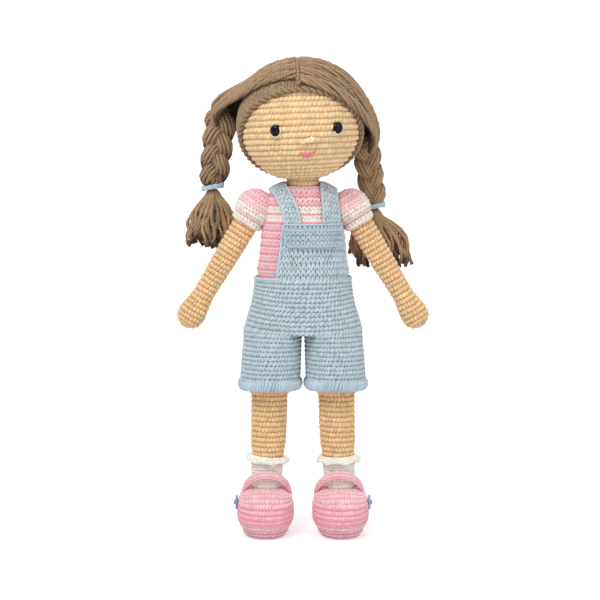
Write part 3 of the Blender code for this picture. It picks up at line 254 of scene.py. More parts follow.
# %% A V stitch
def stitch(width, height, yarn, arch=0.9, spread=0.25, steps=6):
    """Width and height are of one stitch, yarn is the radius of its two arms and spread how far they part."""
    reach, sides = 0.60, 6
    s = np.linspace(0, 1, steps)
    paths = []
    for side in (-1, 1):
        x = side * (0.05 + spread * np.sin(s * np.pi / 2))
        y = -reach + 2 * reach * s * 0.94
        z = yarn * (-0.75 + (0.75 + arch) * np.sin(np.pi * (0.08 + 0.84 * s)))
        paths.append(np.stack((x * width, y * height, z), axis=1))
    radius = yarn * (0.62 + 0.38 * np.sin(np.pi * (0.12 + 0.76 * s)))
    verts, quads, uv, _ = sweep(np.array(paths), radius, sides, start_normal=np.array((1.0, 0.0, 0.0)))
    return verts / (width, height, 1), quads, uv


# %% [markdown]
# ## The stitch of the face, limbs and shorts
# Seen from its other side, crochet shows bars that lie along the row, and the row looks like a fat twisted
# rope. Each bar slants a little, is thick in the middle and thin at its ends, where the dark dots between the
# stitches are. A short post behind it stops the eye from looking through.

# %% A bar stitch
def rib(width, height, yarn, slant=0.20, arch=0.55, overlap=0.57, wide=1.0, hump=0.10, ends=0.35):
    """Width and height are of one stitch, and yarn is the radius of its bar."""
    steps, sides = 7, 6
    s = np.linspace(0, 1, steps)
    x = overlap * (2 * s - 1)
    y = slant * np.sin(np.pi * (s - 0.5)) * 0.9 + hump * (np.sin(np.pi * s) - 0.5)
    z = yarn * (-0.75 + (0.75 + arch) * np.sin(np.pi * (0.08 + 0.84 * s)))
    top = np.stack((x * width, y * height, z), axis=1)
    radius = yarn * (ends + (1 - ends) * np.sin(np.pi * (0.06 + 0.88 * s)) ** 0.8)
    verts, quads, uv, _ = sweep(top[None], radius, sides, start_normal=np.array((0.0, 0.0, 1.0)), flat=wide)
    s = np.linspace(0, 1, 4)
    post = np.stack((np.full(4, 0.05 * width), (0.25 + 0.55 * s) * height, yarn * (-0.75 + 0.1 * s)), axis=1)
    more, more_quads, more_uv, _ = sweep(post[None], yarn * 0.55, sides,
                                         start_normal=np.array((1.0, 0.0, 0.0)))
    quads = np.concatenate((quads, more_quads + len(verts)))
    verts = np.concatenate((verts, more))
    uv = np.concatenate((uv, more_uv))
    return verts / (width, height, 1), quads, uv


print("a V stitch has", len(stitch(3 * MM, 4 * MM, 0.8 * MM)[1]), "faces and a bar stitch",
      len(rib(3 * MM, 4 * MM, 1 * MM)[1]))

# %% [markdown]
# ## Places on a surface
# A surface is a function of u, round the piece, and v, up the piece. That says where a stitch goes without
# any mesh under it, and two nearby places give the normal. The rows are set at an even pitch along the
# surface, as a maker's rows are, and not at even heights.

# %% Surfaces and rows
PROBE = 0.0015


def on_surface(surface, u, v, height):
    """Points of a surface, lifted off it by a height."""
    here = surface(u, v)
    along_u = surface(u + PROBE, v) - surface(u - PROBE, v)
    along_v = surface(u, v + PROBE) - surface(u, v - PROBE)
    return here + unit(np.cross(along_u, along_v)) * np.asarray(height)[..., None]


def row_levels(surface, low, high, pitch, u=0.75):
    """Row edges at an even pitch along the surface between two v values."""
    v = np.linspace(low, high, 400)
    points = surface(np.full(400, u), v)
    along = np.concatenate(((0,), np.cumsum(np.linalg.norm(np.diff(points, axis=0), axis=1))))
    rows = max(1, int(round(along[-1] / pitch)))
    return np.interp(np.linspace(0, along[-1], rows + 1), along, v)


def place_grid(us, vs):
    """Every pair of a u and a v, as two flat lists, one row of u for each v."""
    v, u = np.meshgrid(vs, us, indexing="ij")
    return u.ravel(), v.ravel()


def round_u(count):
    return np.linspace(0, 1, count, endpoint=False)


def stitch_places(surface, levels, width, closed, shift):
    """The middle and size of every stitch: as many in each row as its length holds."""
    u0, du, v0, dv = [], [], [], []
    for row, (low, high) in enumerate(zip(levels[:-1], levels[1:])):
        middle = (low + high) / 2
        ring = surface(np.linspace(0, 1, 97), np.full(97, middle))
        count = max(3, int(round(np.linalg.norm(np.diff(ring, axis=0), axis=1).sum() / width)))
        start = (row * shift) % 1 if closed else 0.5
        u0.append((np.arange(count) + start) / count)
        du.append(np.full(count, 1 / count))
        v0.append(np.full(count, middle))
        dv.append(np.full(count, high - low))
    return [np.concatenate(item) for item in (u0, du, v0, dv)]


print("rows of 4 mm on a plain tube 40 mm tall:",
      len(row_levels(lambda u, v: np.stack((u * 0, u * 0, v), axis=-1), 0, 0.04, 4 * MM)) - 1)

# %% [markdown]
# ## Laying the stitches
# The flat stitch is copied to every place of every row and bent onto the surface there. A modifier such as
# Array with Curve could do one row, but rows on a round form hold different numbers of stitches. Each copy is
# moved, sized and tinted a little at random, because no two stitches of a hand-made piece are alike. A smooth
# backing cloth below them closes the gaps. Stitches that nothing can see are skipped.
# The backing cloth is painted shade: it gets the full depth and a lower tone, so the gaps between the stitches
# read as shade.

# %% Crochet
def backing_cloth(piece, surface, levels, columns, closed, height, paint, slot):
    u, v = place_grid(np.linspace(0, 1, columns, endpoint=not closed),
                      np.linspace(levels[0], levels[-1], 2 * len(levels)))
    base = on_surface(surface, u, v, np.full(u.size, height))
    cloth = grid_quads(2 * len(levels), columns, closed)
    if paint is not None and slot is None:
        slot = paint(base[cloth].mean(axis=1), u[cloth[:, 0]], v[cloth[:, 0]])
    elif slot is None:
        slot = 0
    # Painted shade: the cloth gets a lower tone and the full depth.
    piece.add(base, cloth, None, -0.10, 1.0, slot)


def crochet(piece, surface, levels, width, template, closed=True, skip=None, paint=None,
            tone=0.05, backing=-0.0006, back_slot=None, columns=96, lift=0.0):
    """Lay one stitch in every place of every row, with a backing cloth under them."""
    shift, jitter = 0.37, 0.07
    shape, quads, uv = template
    u0, du, v0, dv = stitch_places(surface, levels, width, closed, shift)
    if skip is not None:
        keep = ~skip(on_surface(surface, u0, v0, np.zeros(len(u0))), u0, v0)
        u0, du, v0, dv = u0[keep], du[keep], v0[keep], dv[keep]
    total = len(u0)
    wobble = rng.normal(0, jitter, (total, 3))
    u = u0[:, None] + (shape[None, :, 0] + wobble[:, :1] * 0.6) * du[:, None]
    v = v0[:, None] + (shape[None, :, 1] + wobble[:, 1:2] * 0.5) * dv[:, None]
    high = shape[None, :, 2] * (1 + wobble[:, 2:]) + lift
    verts = on_surface(surface, u.ravel(), v.ravel(), high.ravel())
    size = len(shape)
    all_quads = (quads[None] + (np.arange(total) * size)[:, None, None]).reshape(-1, 4)
    slots = 0
    if paint is not None:
        slots = np.repeat(paint(on_surface(surface, u0, v0, np.zeros(total)), u0, v0), len(quads))
    # Painted shade: each stitch is darkened towards its lowest points.
    lowest, highest = shape[:, 2].min(), shape[:, 2].max()
    depth = np.tile((highest - shape[:, 2]) / (highest - lowest), total)
    tones = np.repeat(rng.normal(0, tone, total), size)
    laid_uv = np.tile(uv, (total, 1, 1))
    laid_uv[..., 0] += np.repeat(rng.uniform(0, 9, total), len(quads))[:, None]
    piece.add(verts, all_quads, laid_uv, tones, depth, slots)
    if backing is not None:
        backing_cloth(piece, surface, levels, columns, closed, backing + lift, paint, back_slot)
    return total


# %% [markdown]
# ## Building a material from nodes
# Blender's shader nodes can be wired by hand in the editor or made in code. In code, a few helpers keep it
# short: each one makes a node, fills in its numbers, links what comes from other nodes and gives its output.

# %% Node helpers
def srgb(red, green, blue):
    """A colour as a picture writes it, 0 to 255, in the linear light that a shader works in."""
    return [((c / 255 + 0.055) / 1.055) ** 2.4 if c > 10 else c / 255 / 12.92
            for c in (red, green, blue)] + [1.0]


def link(tree, source, target):
    tree.links.new(source, target)


def maths(tree, operation, *values):
    node = tree.nodes.new("ShaderNodeMath")
    node.operation = operation
    for place, value in zip(node.inputs, values):
        if isinstance(value, (int, float)):
            place.default_value = value
        else:
            link(tree, value, place)
    return node.outputs[0]


def speckle(tree, scale, detail, stretch=None):
    """Noise fixed to the object. Stretch gives each axis its own scale."""
    place = tree.nodes.new("ShaderNodeTexCoord").outputs["Object"]
    if stretch is not None:
        mapping = tree.nodes.new("ShaderNodeMapping")
        mapping.inputs["Scale"].default_value = stretch
        link(tree, place, mapping.inputs["Vector"])
        place = mapping.outputs["Vector"]
    texture = tree.nodes.new("ShaderNodeTexNoise")
    texture.inputs["Scale"].default_value = scale
    texture.inputs["Detail"].default_value = detail
    link(tree, place, texture.inputs["Vector"])
    return texture.outputs["Fac"]


def carried(tree, name):
    """A number that the mesh carries on each of its points."""
    attribute = tree.nodes.new("ShaderNodeAttribute")
    attribute.attribute_name = name
    return attribute.outputs["Fac"]


def ranged(tree, value, low, high, start=0.0, end=1.0):
    """Turn start..end into low..high."""
    node = tree.nodes.new("ShaderNodeMapRange")
    for name, number in (("From Min", start), ("From Max", end), ("To Min", low), ("To Max", high)):
        node.inputs[name].default_value = number
    link(tree, value, node.inputs["Value"])
    return node.outputs["Result"]


def blended(tree, share, colour, other):
    mix = tree.nodes.new("ShaderNodeMix")
    mix.data_type = "RGBA"
    mix.inputs[6].default_value = srgb(*colour)
    mix.inputs[7].default_value = srgb(*other)
    link(tree, share, mix.inputs[0])
    return mix.outputs[2]


def bumped(tree, height, strength, distance):
    bump = tree.nodes.new("ShaderNodeBump")
    bump.inputs["Strength"].default_value = strength
    bump.inputs["Distance"].default_value = distance
    link(tree, height, bump.inputs["Height"])
    link(tree, bump.outputs["Normal"], tree.nodes["Principled BSDF"].inputs["Normal"])


def plain(name, colour, roughness=0.9):
    material = bpy.data.materials.new(name)
    material.use_nodes = True
    shader = material.node_tree.nodes["Principled BSDF"]
    shader.inputs["Base Color"].default_value = srgb(*colour)
    shader.inputs["Roughness"].default_value = roughness
    return material


print("a mid grey of 128 is", round(srgb(128, 128, 128)[0], 3), "in linear light")

# %% [markdown]
# ## Yarn
# Cotton yarn is matt, with plies that show as slanting lines, fine fibres on its surface, and dark places
# between the stitches. A photograph of yarn could be wrapped on, but it would stretch on the bent stitches.
# So one function makes every yarn from the UVs along it. The plies are a sine wave across u and v together,
# which both bumps the yarn and paints shade into the grooves between the plies. Noise gives the mottling and
# the fibres, the tone lightens single stitches, and the depth paints shade: what lies low is blended towards
# the yarn's shade colour. A little constant sheen stands for the fuzz.

# %% The yarn material
FIBRE_SCALE = 2600
PATCH_SCALE = 160


def twist_wave(tree, plies, per_mm):
    """A wave from -1 to 1 across the plies, which turns as the yarn runs along."""
    uv = tree.nodes.new("ShaderNodeUVMap")
    uv.uv_map = "yarn"
    split = tree.nodes.new("ShaderNodeSeparateXYZ")
    link(tree, uv.outputs["UV"], split.inputs[0])
    run = maths(tree, "MULTIPLY", split.outputs["X"], per_mm)
    around = maths(tree, "MULTIPLY_ADD", split.outputs["Y"], plies, run)
    return maths(tree, "SINE", maths(tree, "MULTIPLY", around, 2 * math.pi))


def yarn(name, colour, shade, plies=2.0, per_mm=0.35, strength=0.35, mottle=0.10, sheen=0.25, deep=0.75,
         ply=0.07):
    """Colour is of the yarn in the open, shade of the deep places; deep is how far it goes towards it."""
    material = plain(name, colour, 0.85)
    tree = material.node_tree
    wave = twist_wave(tree, plies, per_mm)
    light = maths(tree, "MULTIPLY_ADD", speckle(tree, PATCH_SCALE, 2), 2 * mottle, 1 - mottle)
    lighter = maths(tree, "ADD", light, carried(tree, "tone"))
    # Painted shade: the ply wave also darkens the grooves between the plies.
    ply_light = maths(tree, "MULTIPLY_ADD", wave, ply, lighter)
    # Painted shade: the depth blends the colour towards the shade colour.
    shade_share = ranged(tree, carried(tree, "depth"), 0.0, deep, start=0.35)
    scale = tree.nodes.new("ShaderNodeVectorMath")
    scale.operation = "SCALE"
    link(tree, blended(tree, shade_share, colour, shade), scale.inputs[0])
    link(tree, ply_light, scale.inputs["Scale"])
    shader = tree.nodes["Principled BSDF"]
    link(tree, scale.outputs[0], shader.inputs["Base Color"])
    height = maths(tree, "MULTIPLY_ADD", wave, 0.6, speckle(tree, FIBRE_SCALE, 3))
    bumped(tree, height, strength, 0.0003)
    shader.inputs["Sheen Weight"].default_value = sheen
    shader.inputs["Sheen Roughness"].default_value = 0.6
    shader.inputs["Specular IOR Level"].default_value = 0.25
    return material


# %% [markdown]
# ## The doll's yarns
# The peach, pinks, creams, blues and browns are set against the photograph. Each also has a shade colour for
# its painted shade. The limbs are a deeper peach than the face, with a darker painted shade between their
# stitches. The hair has the strongest plies of all.

# %% The yarns
SKIN = yarn("peach_yarn", (252, 220, 172), (220, 170, 118), deep=0.6)
# Painted shade: the limbs' shade colour is darker, for the dark dots between their stitches.
LIMB = yarn("limb_peach_yarn", (248, 210, 158), (184, 128, 76), deep=0.6)
SKIN_LIGHT = yarn("pale_peach_yarn", (255, 230, 186), (228, 186, 134), deep=0.5)
HAIR = yarn("brown_yarn", (178, 144, 107), (66, 42, 25), per_mm=0.42, strength=0.6, mottle=0.2, deep=0.95,
            ply=0.20)
CAP = yarn("fine_brown_yarn", (176, 144, 108), (100, 72, 48), mottle=0.2, deep=0.8)
PINK = yarn("pink_yarn", (255, 198, 208), (243, 150, 176), deep=0.6)
DEEP_PINK = yarn("deep_pink_yarn", (250, 158, 182), (236, 116, 150))
CREAM = yarn("cream_yarn", (253, 244, 232), (226, 206, 188), deep=0.6)
SOCK = yarn("sock_yarn", (255, 254, 244), (254, 245, 226), mottle=0.02, deep=0.25)
BLUE = yarn("blue_grey_yarn", (200, 216, 223), (118, 140, 154), deep=0.7)
# A darker copy of the blue, painted shade for the turned-down flap.
SHADED_BLUE = yarn("shaded_blue_yarn", (188, 206, 215), (112, 134, 150), deep=0.7)
PALE_BLUE = yarn("pale_blue_yarn", (196, 216, 229), (150, 176, 194), deep=0.6)
SHOE = yarn("shoe_pink_yarn", (255, 206, 216), (248, 152, 178), deep=0.55)
FLOWER = yarn("flower_yarn", (166, 182, 206), (112, 128, 158))
MOUTH = yarn("mouth_yarn", (238, 134, 156), (214, 92, 122))
print("yarns", sum(material.name.endswith("yarn") for material in bpy.data.materials))

# %% [markdown]
# ## The photograph's view
# The photograph was taken from a little above the doll's face, from well over a metre away, so its upright
# lines stay nearly parallel. The camera could be moved by hand until the pictures agree. Here the lens is
# worked out instead: the picture is 600 pixels wide, and at the doll each pixel is 0.8 mm.

# %% Camera
PICTURE_WIDTH = 600
PIXEL_SIZE = 0.0008
SENSOR = 36
CAMERA_AT = Vector((-0.0024, -1.42, 0.335))
LOOK_AT = Vector((-0.0024, 0.0, 0.1885))
camera = bpy.data.objects.new("camera", bpy.data.cameras.new("camera"))
bpy.context.collection.objects.link(camera)
camera.location = CAMERA_AT
camera.rotation_euler = (LOOK_AT - CAMERA_AT).to_track_quat("-Z", "Y").to_euler()
camera.data.sensor_width = SENSOR
camera.data.lens = SENSOR * (LOOK_AT - CAMERA_AT).length / (PICTURE_WIDTH * PIXEL_SIZE)
bpy.context.scene.camera = camera
print("lens", round(camera.data.lens, 1), "mm")

# %% [markdown]
# ## Floor and backdrop
# The doll stands on a plain white sheet that curves up behind it, as in a photographer's studio. A separate
# wall would show a corner line. The sheet is pale rather than white, so that it takes a soft shadow. A little
# emission, which only the camera sees, lifts it to white and lights nothing.

# %% Studio sheet
def sheet_line(front, back, tall, bend, steps=8):
    """The sheet from the side: along the floor, round a bend and up, as pairs of y and z."""
    line = [(front, 0.0), (back - bend, 0.0)]
    for step in range(1, steps + 1):
        angle = math.pi / 2 * step / steps
        line.append((back - bend + bend * math.sin(angle), bend - bend * math.cos(angle)))
    return line + [(back, tall)]


def camera_glow(material, strength):
    """Light added to a material that only the camera sees."""
    tree = material.node_tree
    glow, black = (tree.nodes.new("ShaderNodeEmission") for _ in range(2))
    glow.inputs["Strength"].default_value = strength
    black.inputs["Strength"].default_value = 0.0
    seen = tree.nodes.new("ShaderNodeLightPath")
    choose = tree.nodes.new("ShaderNodeMixShader")
    both = tree.nodes.new("ShaderNodeAddShader")
    link(tree, seen.outputs["Is Camera Ray"], choose.inputs[0])
    link(tree, black.outputs[0], choose.inputs[1])
    link(tree, glow.outputs[0], choose.inputs[2])
    link(tree, tree.nodes["Principled BSDF"].outputs[0], both.inputs[0])
    link(tree, choose.outputs[0], both.inputs[1])
    link(tree, both.outputs[0], tree.nodes["Material Output"].inputs[0])


HALF_WIDTH = 3.0
line = sheet_line(front=-3.0, back=1.6, tall=3.2, bend=0.6)
mesh = bpy.data.meshes.new("studio_floor")
mesh.from_pydata([(x, y, z) for y, z in line for x in (-HALF_WIDTH, HALF_WIDTH)], [],
                 [(2 * i, 2 * i + 1, 2 * i + 3, 2 * i + 2) for i in range(len(line) - 1)])
mesh.shade_smooth()
floor = bpy.data.objects.new("studio_floor", mesh)
bpy.context.collection.objects.link(floor)
floor_white = plain("floor_white", (232, 232, 231))
camera_glow(floor_white, 0.42)
floor.data.materials.append(floor_white)
print("studio sheet", 2 * HALF_WIDTH, "m wide")

# %% [markdown]
# ## Light
# The photograph is lit softly from all sides, a little more from the upper left. Three large area lamps do
# that: a key light, a fill light on the other side and one from behind for the edges. The lamps and the
# world stay at a plain level, so that the pale yarns don't clip. The world is white for the camera and half
# as bright for the doll.

# %% Lamps and world
def lamp(name, place, target, size, power):
    light = bpy.data.lights.new(name, "AREA")
    light.size = size
    light.energy = power
    obj = bpy.data.objects.new(name, light)
    obj.location = place
    obj.rotation_euler = (Vector(target) - Vector(place)).to_track_quat("-Z", "Y").to_euler()
    bpy.context.collection.objects.link(obj)


lamp("key", (-0.7, -1.1, 1.6), (0, 0, 0.2), 0.9, 16)
lamp("fill", (1.2, -1.3, 1.1), (0, 0, 0.2), 1.2, 7)
lamp("back", (0.3, 1.0, 1.4), (0, 0, 0.25), 0.9, 6)
world = bpy.data.worlds.new("studio_air")
bpy.context.scene.world = world
world.use_nodes = True
air = world.node_tree
background = air.nodes["Background"]
background.inputs["Color"].default_value = (1, 1, 1, 1)
ray = air.nodes.new("ShaderNodeLightPath")
link(air, ranged(air, ray.outputs["Is Camera Ray"], 0.5, 1.0), background.inputs["Strength"])
bpy.context.scene.view_settings.view_transform = "Standard"
print("lamps", len(bpy.data.lights))

# %% [markdown]
# ## The head
# The head is a stuffed oval, worked in rounds from the neck up. It could be a stretched ball with the rows
# laid on it, and that is what this is: a direction from the centre, times three radii. It leans a little to
# the doll's right, so every point of it is turned about the neck at the end. The numbers are those of the
# solids.

# %% Head surface
NECK_TOP = 0.280
NECK_PIVOT = np.array((0, 0, NECK_TOP))
HEAD_CENTRE = np.array((0, -0.002, NECK_TOP + 0.0055 + 0.0445 * math.sqrt(1 - (26 / 94) ** 2)))
HEAD_RADII = np.array((0.047, 0.045, 0.0445))
LEAN = np.array(Matrix.Rotation(math.radians(-2.5), 3, "Y"))


def leaned(points):
    return (np.asarray(points) - NECK_PIVOT) @ LEAN.T + NECK_PIVOT


def on_head(direction, offset):
    """The head's skin in a direction from its centre, pushed out by an offset."""
    offset = np.asarray(offset, float)[..., None]
    return leaned(HEAD_CENTRE + direction * (HEAD_RADII + offset))


def head_direction(u, v):
    return np.stack((np.sin(v) * np.cos(2 * np.pi * u), np.sin(v) * np.sin(2 * np.pi * u), -np.cos(v)),
                    axis=-1)


def head_skin(u, v):
    return on_head(head_direction(u, v), np.zeros(np.shape(u)))


print("head centre", HEAD_CENTRE.round(4))

# %% [markdown]
# The face shows bars in even rows, 4.7 mm apart. The wig cap covers the crown and the back, so no stitch is
# made there: the cap reaches a fixed angle from a pole that tilts back.

# %% Head stitches
CAP_TILT = math.radians(40.4)
CAP_POLE = np.array((0, math.cos(CAP_TILT), math.sin(CAP_TILT)))
CAP_REACH = math.radians(104.3)


def under_cap(points, u, v):
    return head_direction(u, v) @ CAP_POLE > math.cos(CAP_REACH - math.radians(4))


head = Piece("head_crochet")
face_stitch = rib(3.5 * MM, 4.7 * MM, 1.20 * MM, slant=0.16, wide=1.62, arch=0.26, hump=0.13, ends=0.34,
                  overlap=0.60)
levels = row_levels(head_skin, 0.37, math.pi - 0.30, 4.7 * MM)
crochet(head, head_skin, levels, 3.5 * MM, face_stitch, skip=under_cap, lift=-0.0004, backing=0.0)
head.make("head", [SKIN], ["head"])
print("head rows", len(levels) - 1)

# %% [markdown]
# ## Skipping what nothing can see
# Under the bib, the hair or the shorts the stitches would only cost time. A place counts as hidden where a
# ray outwards, and four more beside it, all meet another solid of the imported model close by.

# %% Hidden places
def node_tree_of(node):
    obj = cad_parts[node]
    points = [obj.matrix_world @ vertex.co for vertex in obj.data.vertices]
    return BVHTree.FromPolygons(points, [list(face.vertices) for face in obj.data.polygons])


def hidden_by(nodes, outward, margin=0.006):
    """A test that is true where other sub-parts cover a place and what is a margin beside it."""
    targets = [node_tree_of(node) for node in nodes]

    def skip(points, u, v):
        out = np.zeros(len(points), bool)
        for index, point in enumerate(points):
            normal = Vector(outward(point)).normalized()
            across = normal.orthogonal().normalized()
            up = normal.cross(across)
            out[index] = True
            for a, b in ((0, 0), (1, 0), (-1, 0), (0, 1), (0, -1)):
                start = Vector(point) - normal * 0.001 + (across * a + up * b) * margin
                if not any(target.ray_cast(start, normal, 0.012)[0] for target in targets):
                    out[index] = False
                    break
        return out
    return skip


bpy.context.view_layer.update()
print("rays are tested against solids, such as the bib with its", len(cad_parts["bib"].data.polygons),
      "faces")

# %% [markdown]
# ## The wig cap
# A cap in fine brown crochet covers the back of the head, and the hair is sewn to it. It is a second skin 3
# mm off the first, worked in rounds about its own pole, so its rows run round the face and not round the
# neck. It ends in a thick twisted edge, which is a rope swept along its rim.

# %% Cap surface, cap and edge
CAP_TURN = np.array(Vector(CAP_POLE).to_track_quat("Z", "Y").to_matrix())


def cap_direction(u, v):
    around = np.stack((np.sin(-v) * np.cos(2 * np.pi * u), np.sin(-v) * np.sin(2 * np.pi * u), np.cos(-v)),
                      axis=-1)
    return around @ CAP_TURN.T


def cap_skin(u, v):
    return on_head(cap_direction(u, v), np.full(np.shape(u), 0.0030))


HEAD_MIDDLE = leaned(HEAD_CENTRE)
CROWN_START = -0.5
cap = Piece("wig_cap_crochet")
crochet(cap, cap_skin, row_levels(cap_skin, -CAP_REACH, CROWN_START, 2.5 * MM), 2.5 * MM,
        stitch(2.5 * MM, 2.5 * MM, 0.72 * MM, arch=0.3, steps=4, spread=0.22), tone=0.08, backing=-0.0004,
        skip=hidden_by(["hair_left", "hair_right"], lambda p: p - HEAD_MIDDLE))
# Painted shade: the plain cloth over the crown, under the hair, gets a lower tone and the full depth.
u, v = place_grid(round_u(96), np.linspace(CROWN_START, -0.001, 6))
cap.add(on_surface(cap_skin, u, v, np.full(u.size, -0.0004)), grid_quads(6, 96, True), None, -0.1, 1.0)
edge_u = np.linspace(0, 1, 241)
# Painted shade: the edge cords are darkened by their tone, for the dark lines along the cap's edge.
for beyond, height, radius, tone in ((-0.012, 0.0022, 0.0020, -0.12), (0.060, 0.0013, 0.0013, -0.05)):
    rim = on_head(cap_direction(edge_u, np.full(241, -CAP_REACH + beyond)), np.full(241, height))
    cord(cap, rim, radius, lobe=0.34, turns_per_mm=0.20, tone=tone, depth=1.0)
cap.make("head", [CAP], ["wig_cap"])

# %% [markdown]
# ## Hair laid from the parting to the plaits
# The wig is many single yarns sewn down along the parting, drawn over the cap and gathered at each side
# into a plait. Hair particles would fall where they like. Here a map says where the hair is: row runs from
# brow to nape, column from the parting to the plait, and depth from underneath to on top. Each point starts
# on the parting, moves over the head on a curve that bows at the brow, and ends on a ring round the plait's
# root.

# %% Hair map
HAIR_INNER = 0.0044
HAIR_THICKNESS = 0.0028
GATHER_THICKNESS = 0.0075
COLLAR = {"left": 0.0120, "right": 0.0136}
PLAIT_RADIUS = {"left": 0.0112, "right": 0.0128}
HAIR_FRONT = {"left": math.radians(39), "right": math.radians(45)}
NAPE = math.radians(222)
BROW = {"left": (0.10, -0.22, -0.10), "right": (-0.10, -0.10, 0.10)}
ROOT_SHARES = {"left": (0.935, 0.550, -0.325), "right": (-1.215, 0.390, 0.080)}
UNDER_HAIR = HEAD_RADII + HAIR_INNER
OVER_HAIR = HEAD_RADII + HAIR_INNER + HAIR_THICKNESS
PLAIT_ROOT = {label: HEAD_CENTRE + np.array(ROOT_SHARES[label]) * OVER_HAIR for label in ROOT_SHARES}


def hair_point(label, side, row, column, depth):
    """A point in one side's hair: row is brow to nape, column parting to plait, depth 0 under to 1 on top."""
    root = (PLAIT_ROOT[label] - NECK_PIVOT) @ LEAN + NECK_PIVOT
    centre = unit((root - HEAD_CENTRE) / UNDER_HAIR)
    outward = unit(root - HEAD_CENTRE)
    ahead = np.array((0.0, -1.0, 0.0))
    ahead = unit(ahead - outward * ahead.dot(outward))
    upward = np.cross(outward, ahead) * -side
    row, column, depth = [np.asarray(item, float)[..., None] for item in (row, column, depth)]
    angle = HAIR_FRONT[label] + (NAPE - HAIR_FRONT[label]) * row
    start = unit(np.concatenate((np.full_like(angle, side * 0.0320), -np.cos(angle), np.sin(angle)), axis=-1))
    swing = math.radians(185) * row
    spoke = ahead * np.cos(swing) + upward * np.sin(swing)
    end = unit(centre + spoke * COLLAR[label] / HEAD_RADII[2])
    bow = np.array(BROW[label]) * (1 - ease(row * 3))
    middle = unit(unit(start + end) + bow)
    path = unit(start * (1 - column) ** 2 + middle * 2 * column * (1 - column) + end * column ** 2)
    gather = ease(2 * column - 1)
    ring = root + spoke * COLLAR[label]
    rim = outward * GATHER_THICKNESS / 2
    low = HEAD_CENTRE + path * UNDER_HAIR
    high = HEAD_CENTRE + path * OVER_HAIR
    low = low + (ring - rim - HEAD_CENTRE - end * UNDER_HAIR) * gather
    high = high + (ring + rim - HEAD_CENTRE - end * OVER_HAIR) * gather
    return leaned(low + (high - low) * depth)


for label, side in SIDES:
    print(label, "plait starts at", hair_point(label, side, 0.5, 1.0, 0.5).round(4), "and is rooted at",
          PLAIT_ROOT[label].round(4))

# %% [markdown]
# ## The yarns of the hair
# Laid side by side at even steps, the yarns would look combed and thin. On the real doll they cling
# together in loose ropes. So each side has eighteen ropes of seven yarns that turn about each other. The
# ropes lie wide and flat at the parting, narrow towards the plait and pile up there, and each yarn's last
# points tuck in round the plait's top. The yarns inside a rope get more depth, which makes them darker.
# That darkening is painted shade, for the yarns low in a rope that lie in its shadow.

# %% Yarns in loose ropes
YARN_STEPS = 38
TUCK_STEPS = 5


def tucked(label, start, step, count):
    """The end of a strand: it bends down and in, round the top of the plait."""
    share = np.linspace(0, 1, count + 1)[1:, None]
    root = PLAIT_ROOT[label]
    inward = (root - start) * np.array((1.0, 1.0, 0.0))
    reach = np.linalg.norm(inward)
    inward = inward / max(reach, 1e-6)
    onward = unit(step) * 0.0035
    return start + onward * np.sin(share * np.pi / 2) + inward * 0.004 * share ** 2 \
        + np.array((0.0, 0.0, -0.0075)) * share ** 1.5


def hair_widths(label, side, column):
    """How far it is from brow to nape along the hair, at each column."""
    edge = np.linspace(0, 1, 60)
    spans = []
    for c in column:
        points = hair_point(label, side, edge, np.full(60, c), np.full(60, 0.5))
        spans.append(np.linalg.norm(np.diff(points, axis=0), axis=1).sum())
    return np.array(spans)


def hair_yarns(piece, label, side, ropes=18, yarns=7):
    column = np.concatenate((np.linspace(0.0, 1.0, YARN_STEPS - TUCK_STEPS), np.ones(TUCK_STEPS)))
    spans = hair_widths(label, side, column)
    late = ease(3 * column - 2)
    paths, radii, tones, rope_shades = [], [], [], []
    for rope in range(ropes):
        middle = (rope + 0.5) / ropes + rng.normal(0, 0.12) / ropes
        ride_high = rng.uniform(-0.3, 0.3)
        turn = rng.uniform(0, 2 * np.pi)
        twist = rng.uniform(0.9, 1.6)
        pile = rng.uniform(0.1, 0.9)
        rope_tone = rng.normal(0, 0.07)
        for yarn_index in range(yarns):
            angle = turn + 2 * np.pi * (yarn_index + rng.normal(0, 0.12)) / yarns + 2 * np.pi * twist * column
            width = np.minimum(spans / ropes * 0.40, 0.0034) * (1 - 0.25 * late)
            row = np.clip(middle + np.cos(angle) * width / spans, 0.004, 0.996)
            lift = 0.42 + ride_high * ease(5 * column) + (pile - 0.42 - ride_high) * ease(2.2 * column - 1.0)
            thick = HAIR_THICKNESS + (GATHER_THICKNESS - HAIR_THICKNESS) * ease(2 * column - 1)
            path = hair_point(label, side, row, column, lift + np.sin(angle) * 0.0019 / thick + 0.1)
            last = path[-TUCK_STEPS - 1]
            path[-TUCK_STEPS:] = tucked(label, last, last - path[-TUCK_STEPS - 2], TUCK_STEPS)
            paths.append(path)
            radii.append(0.00122 * (1 - 0.16 * late))
            tones.append(rope_tone + rng.normal(0, 0.09))
            # Painted shade: yarns low on the rope's underside are darkened.
            rope_shades.append(np.clip(0.46 - 0.66 * np.sin(angle), 0, 1))
    verts, quads, uv, valley = sweep(np.array(paths), np.array(radii), 6, lobe=0.16, turns_per_mm=0.13)
    rope_shade = np.repeat(np.array(rope_shades).ravel(), 6)
    piece.add(verts, quads, uv, np.repeat(tones, YARN_STEPS * 6), valley * 0.3 + rope_shade)


print("yarns in the hair", 2 * 18 * 7)

# %% [markdown]
# A closed pad under the yarns stops the skin from showing between them. It is painted shade: dark, with a
# low tone and the full depth, so the gaps between the yarns read as shade. It is two sheets of the same map,
# at two depths, joined by a wall all round.

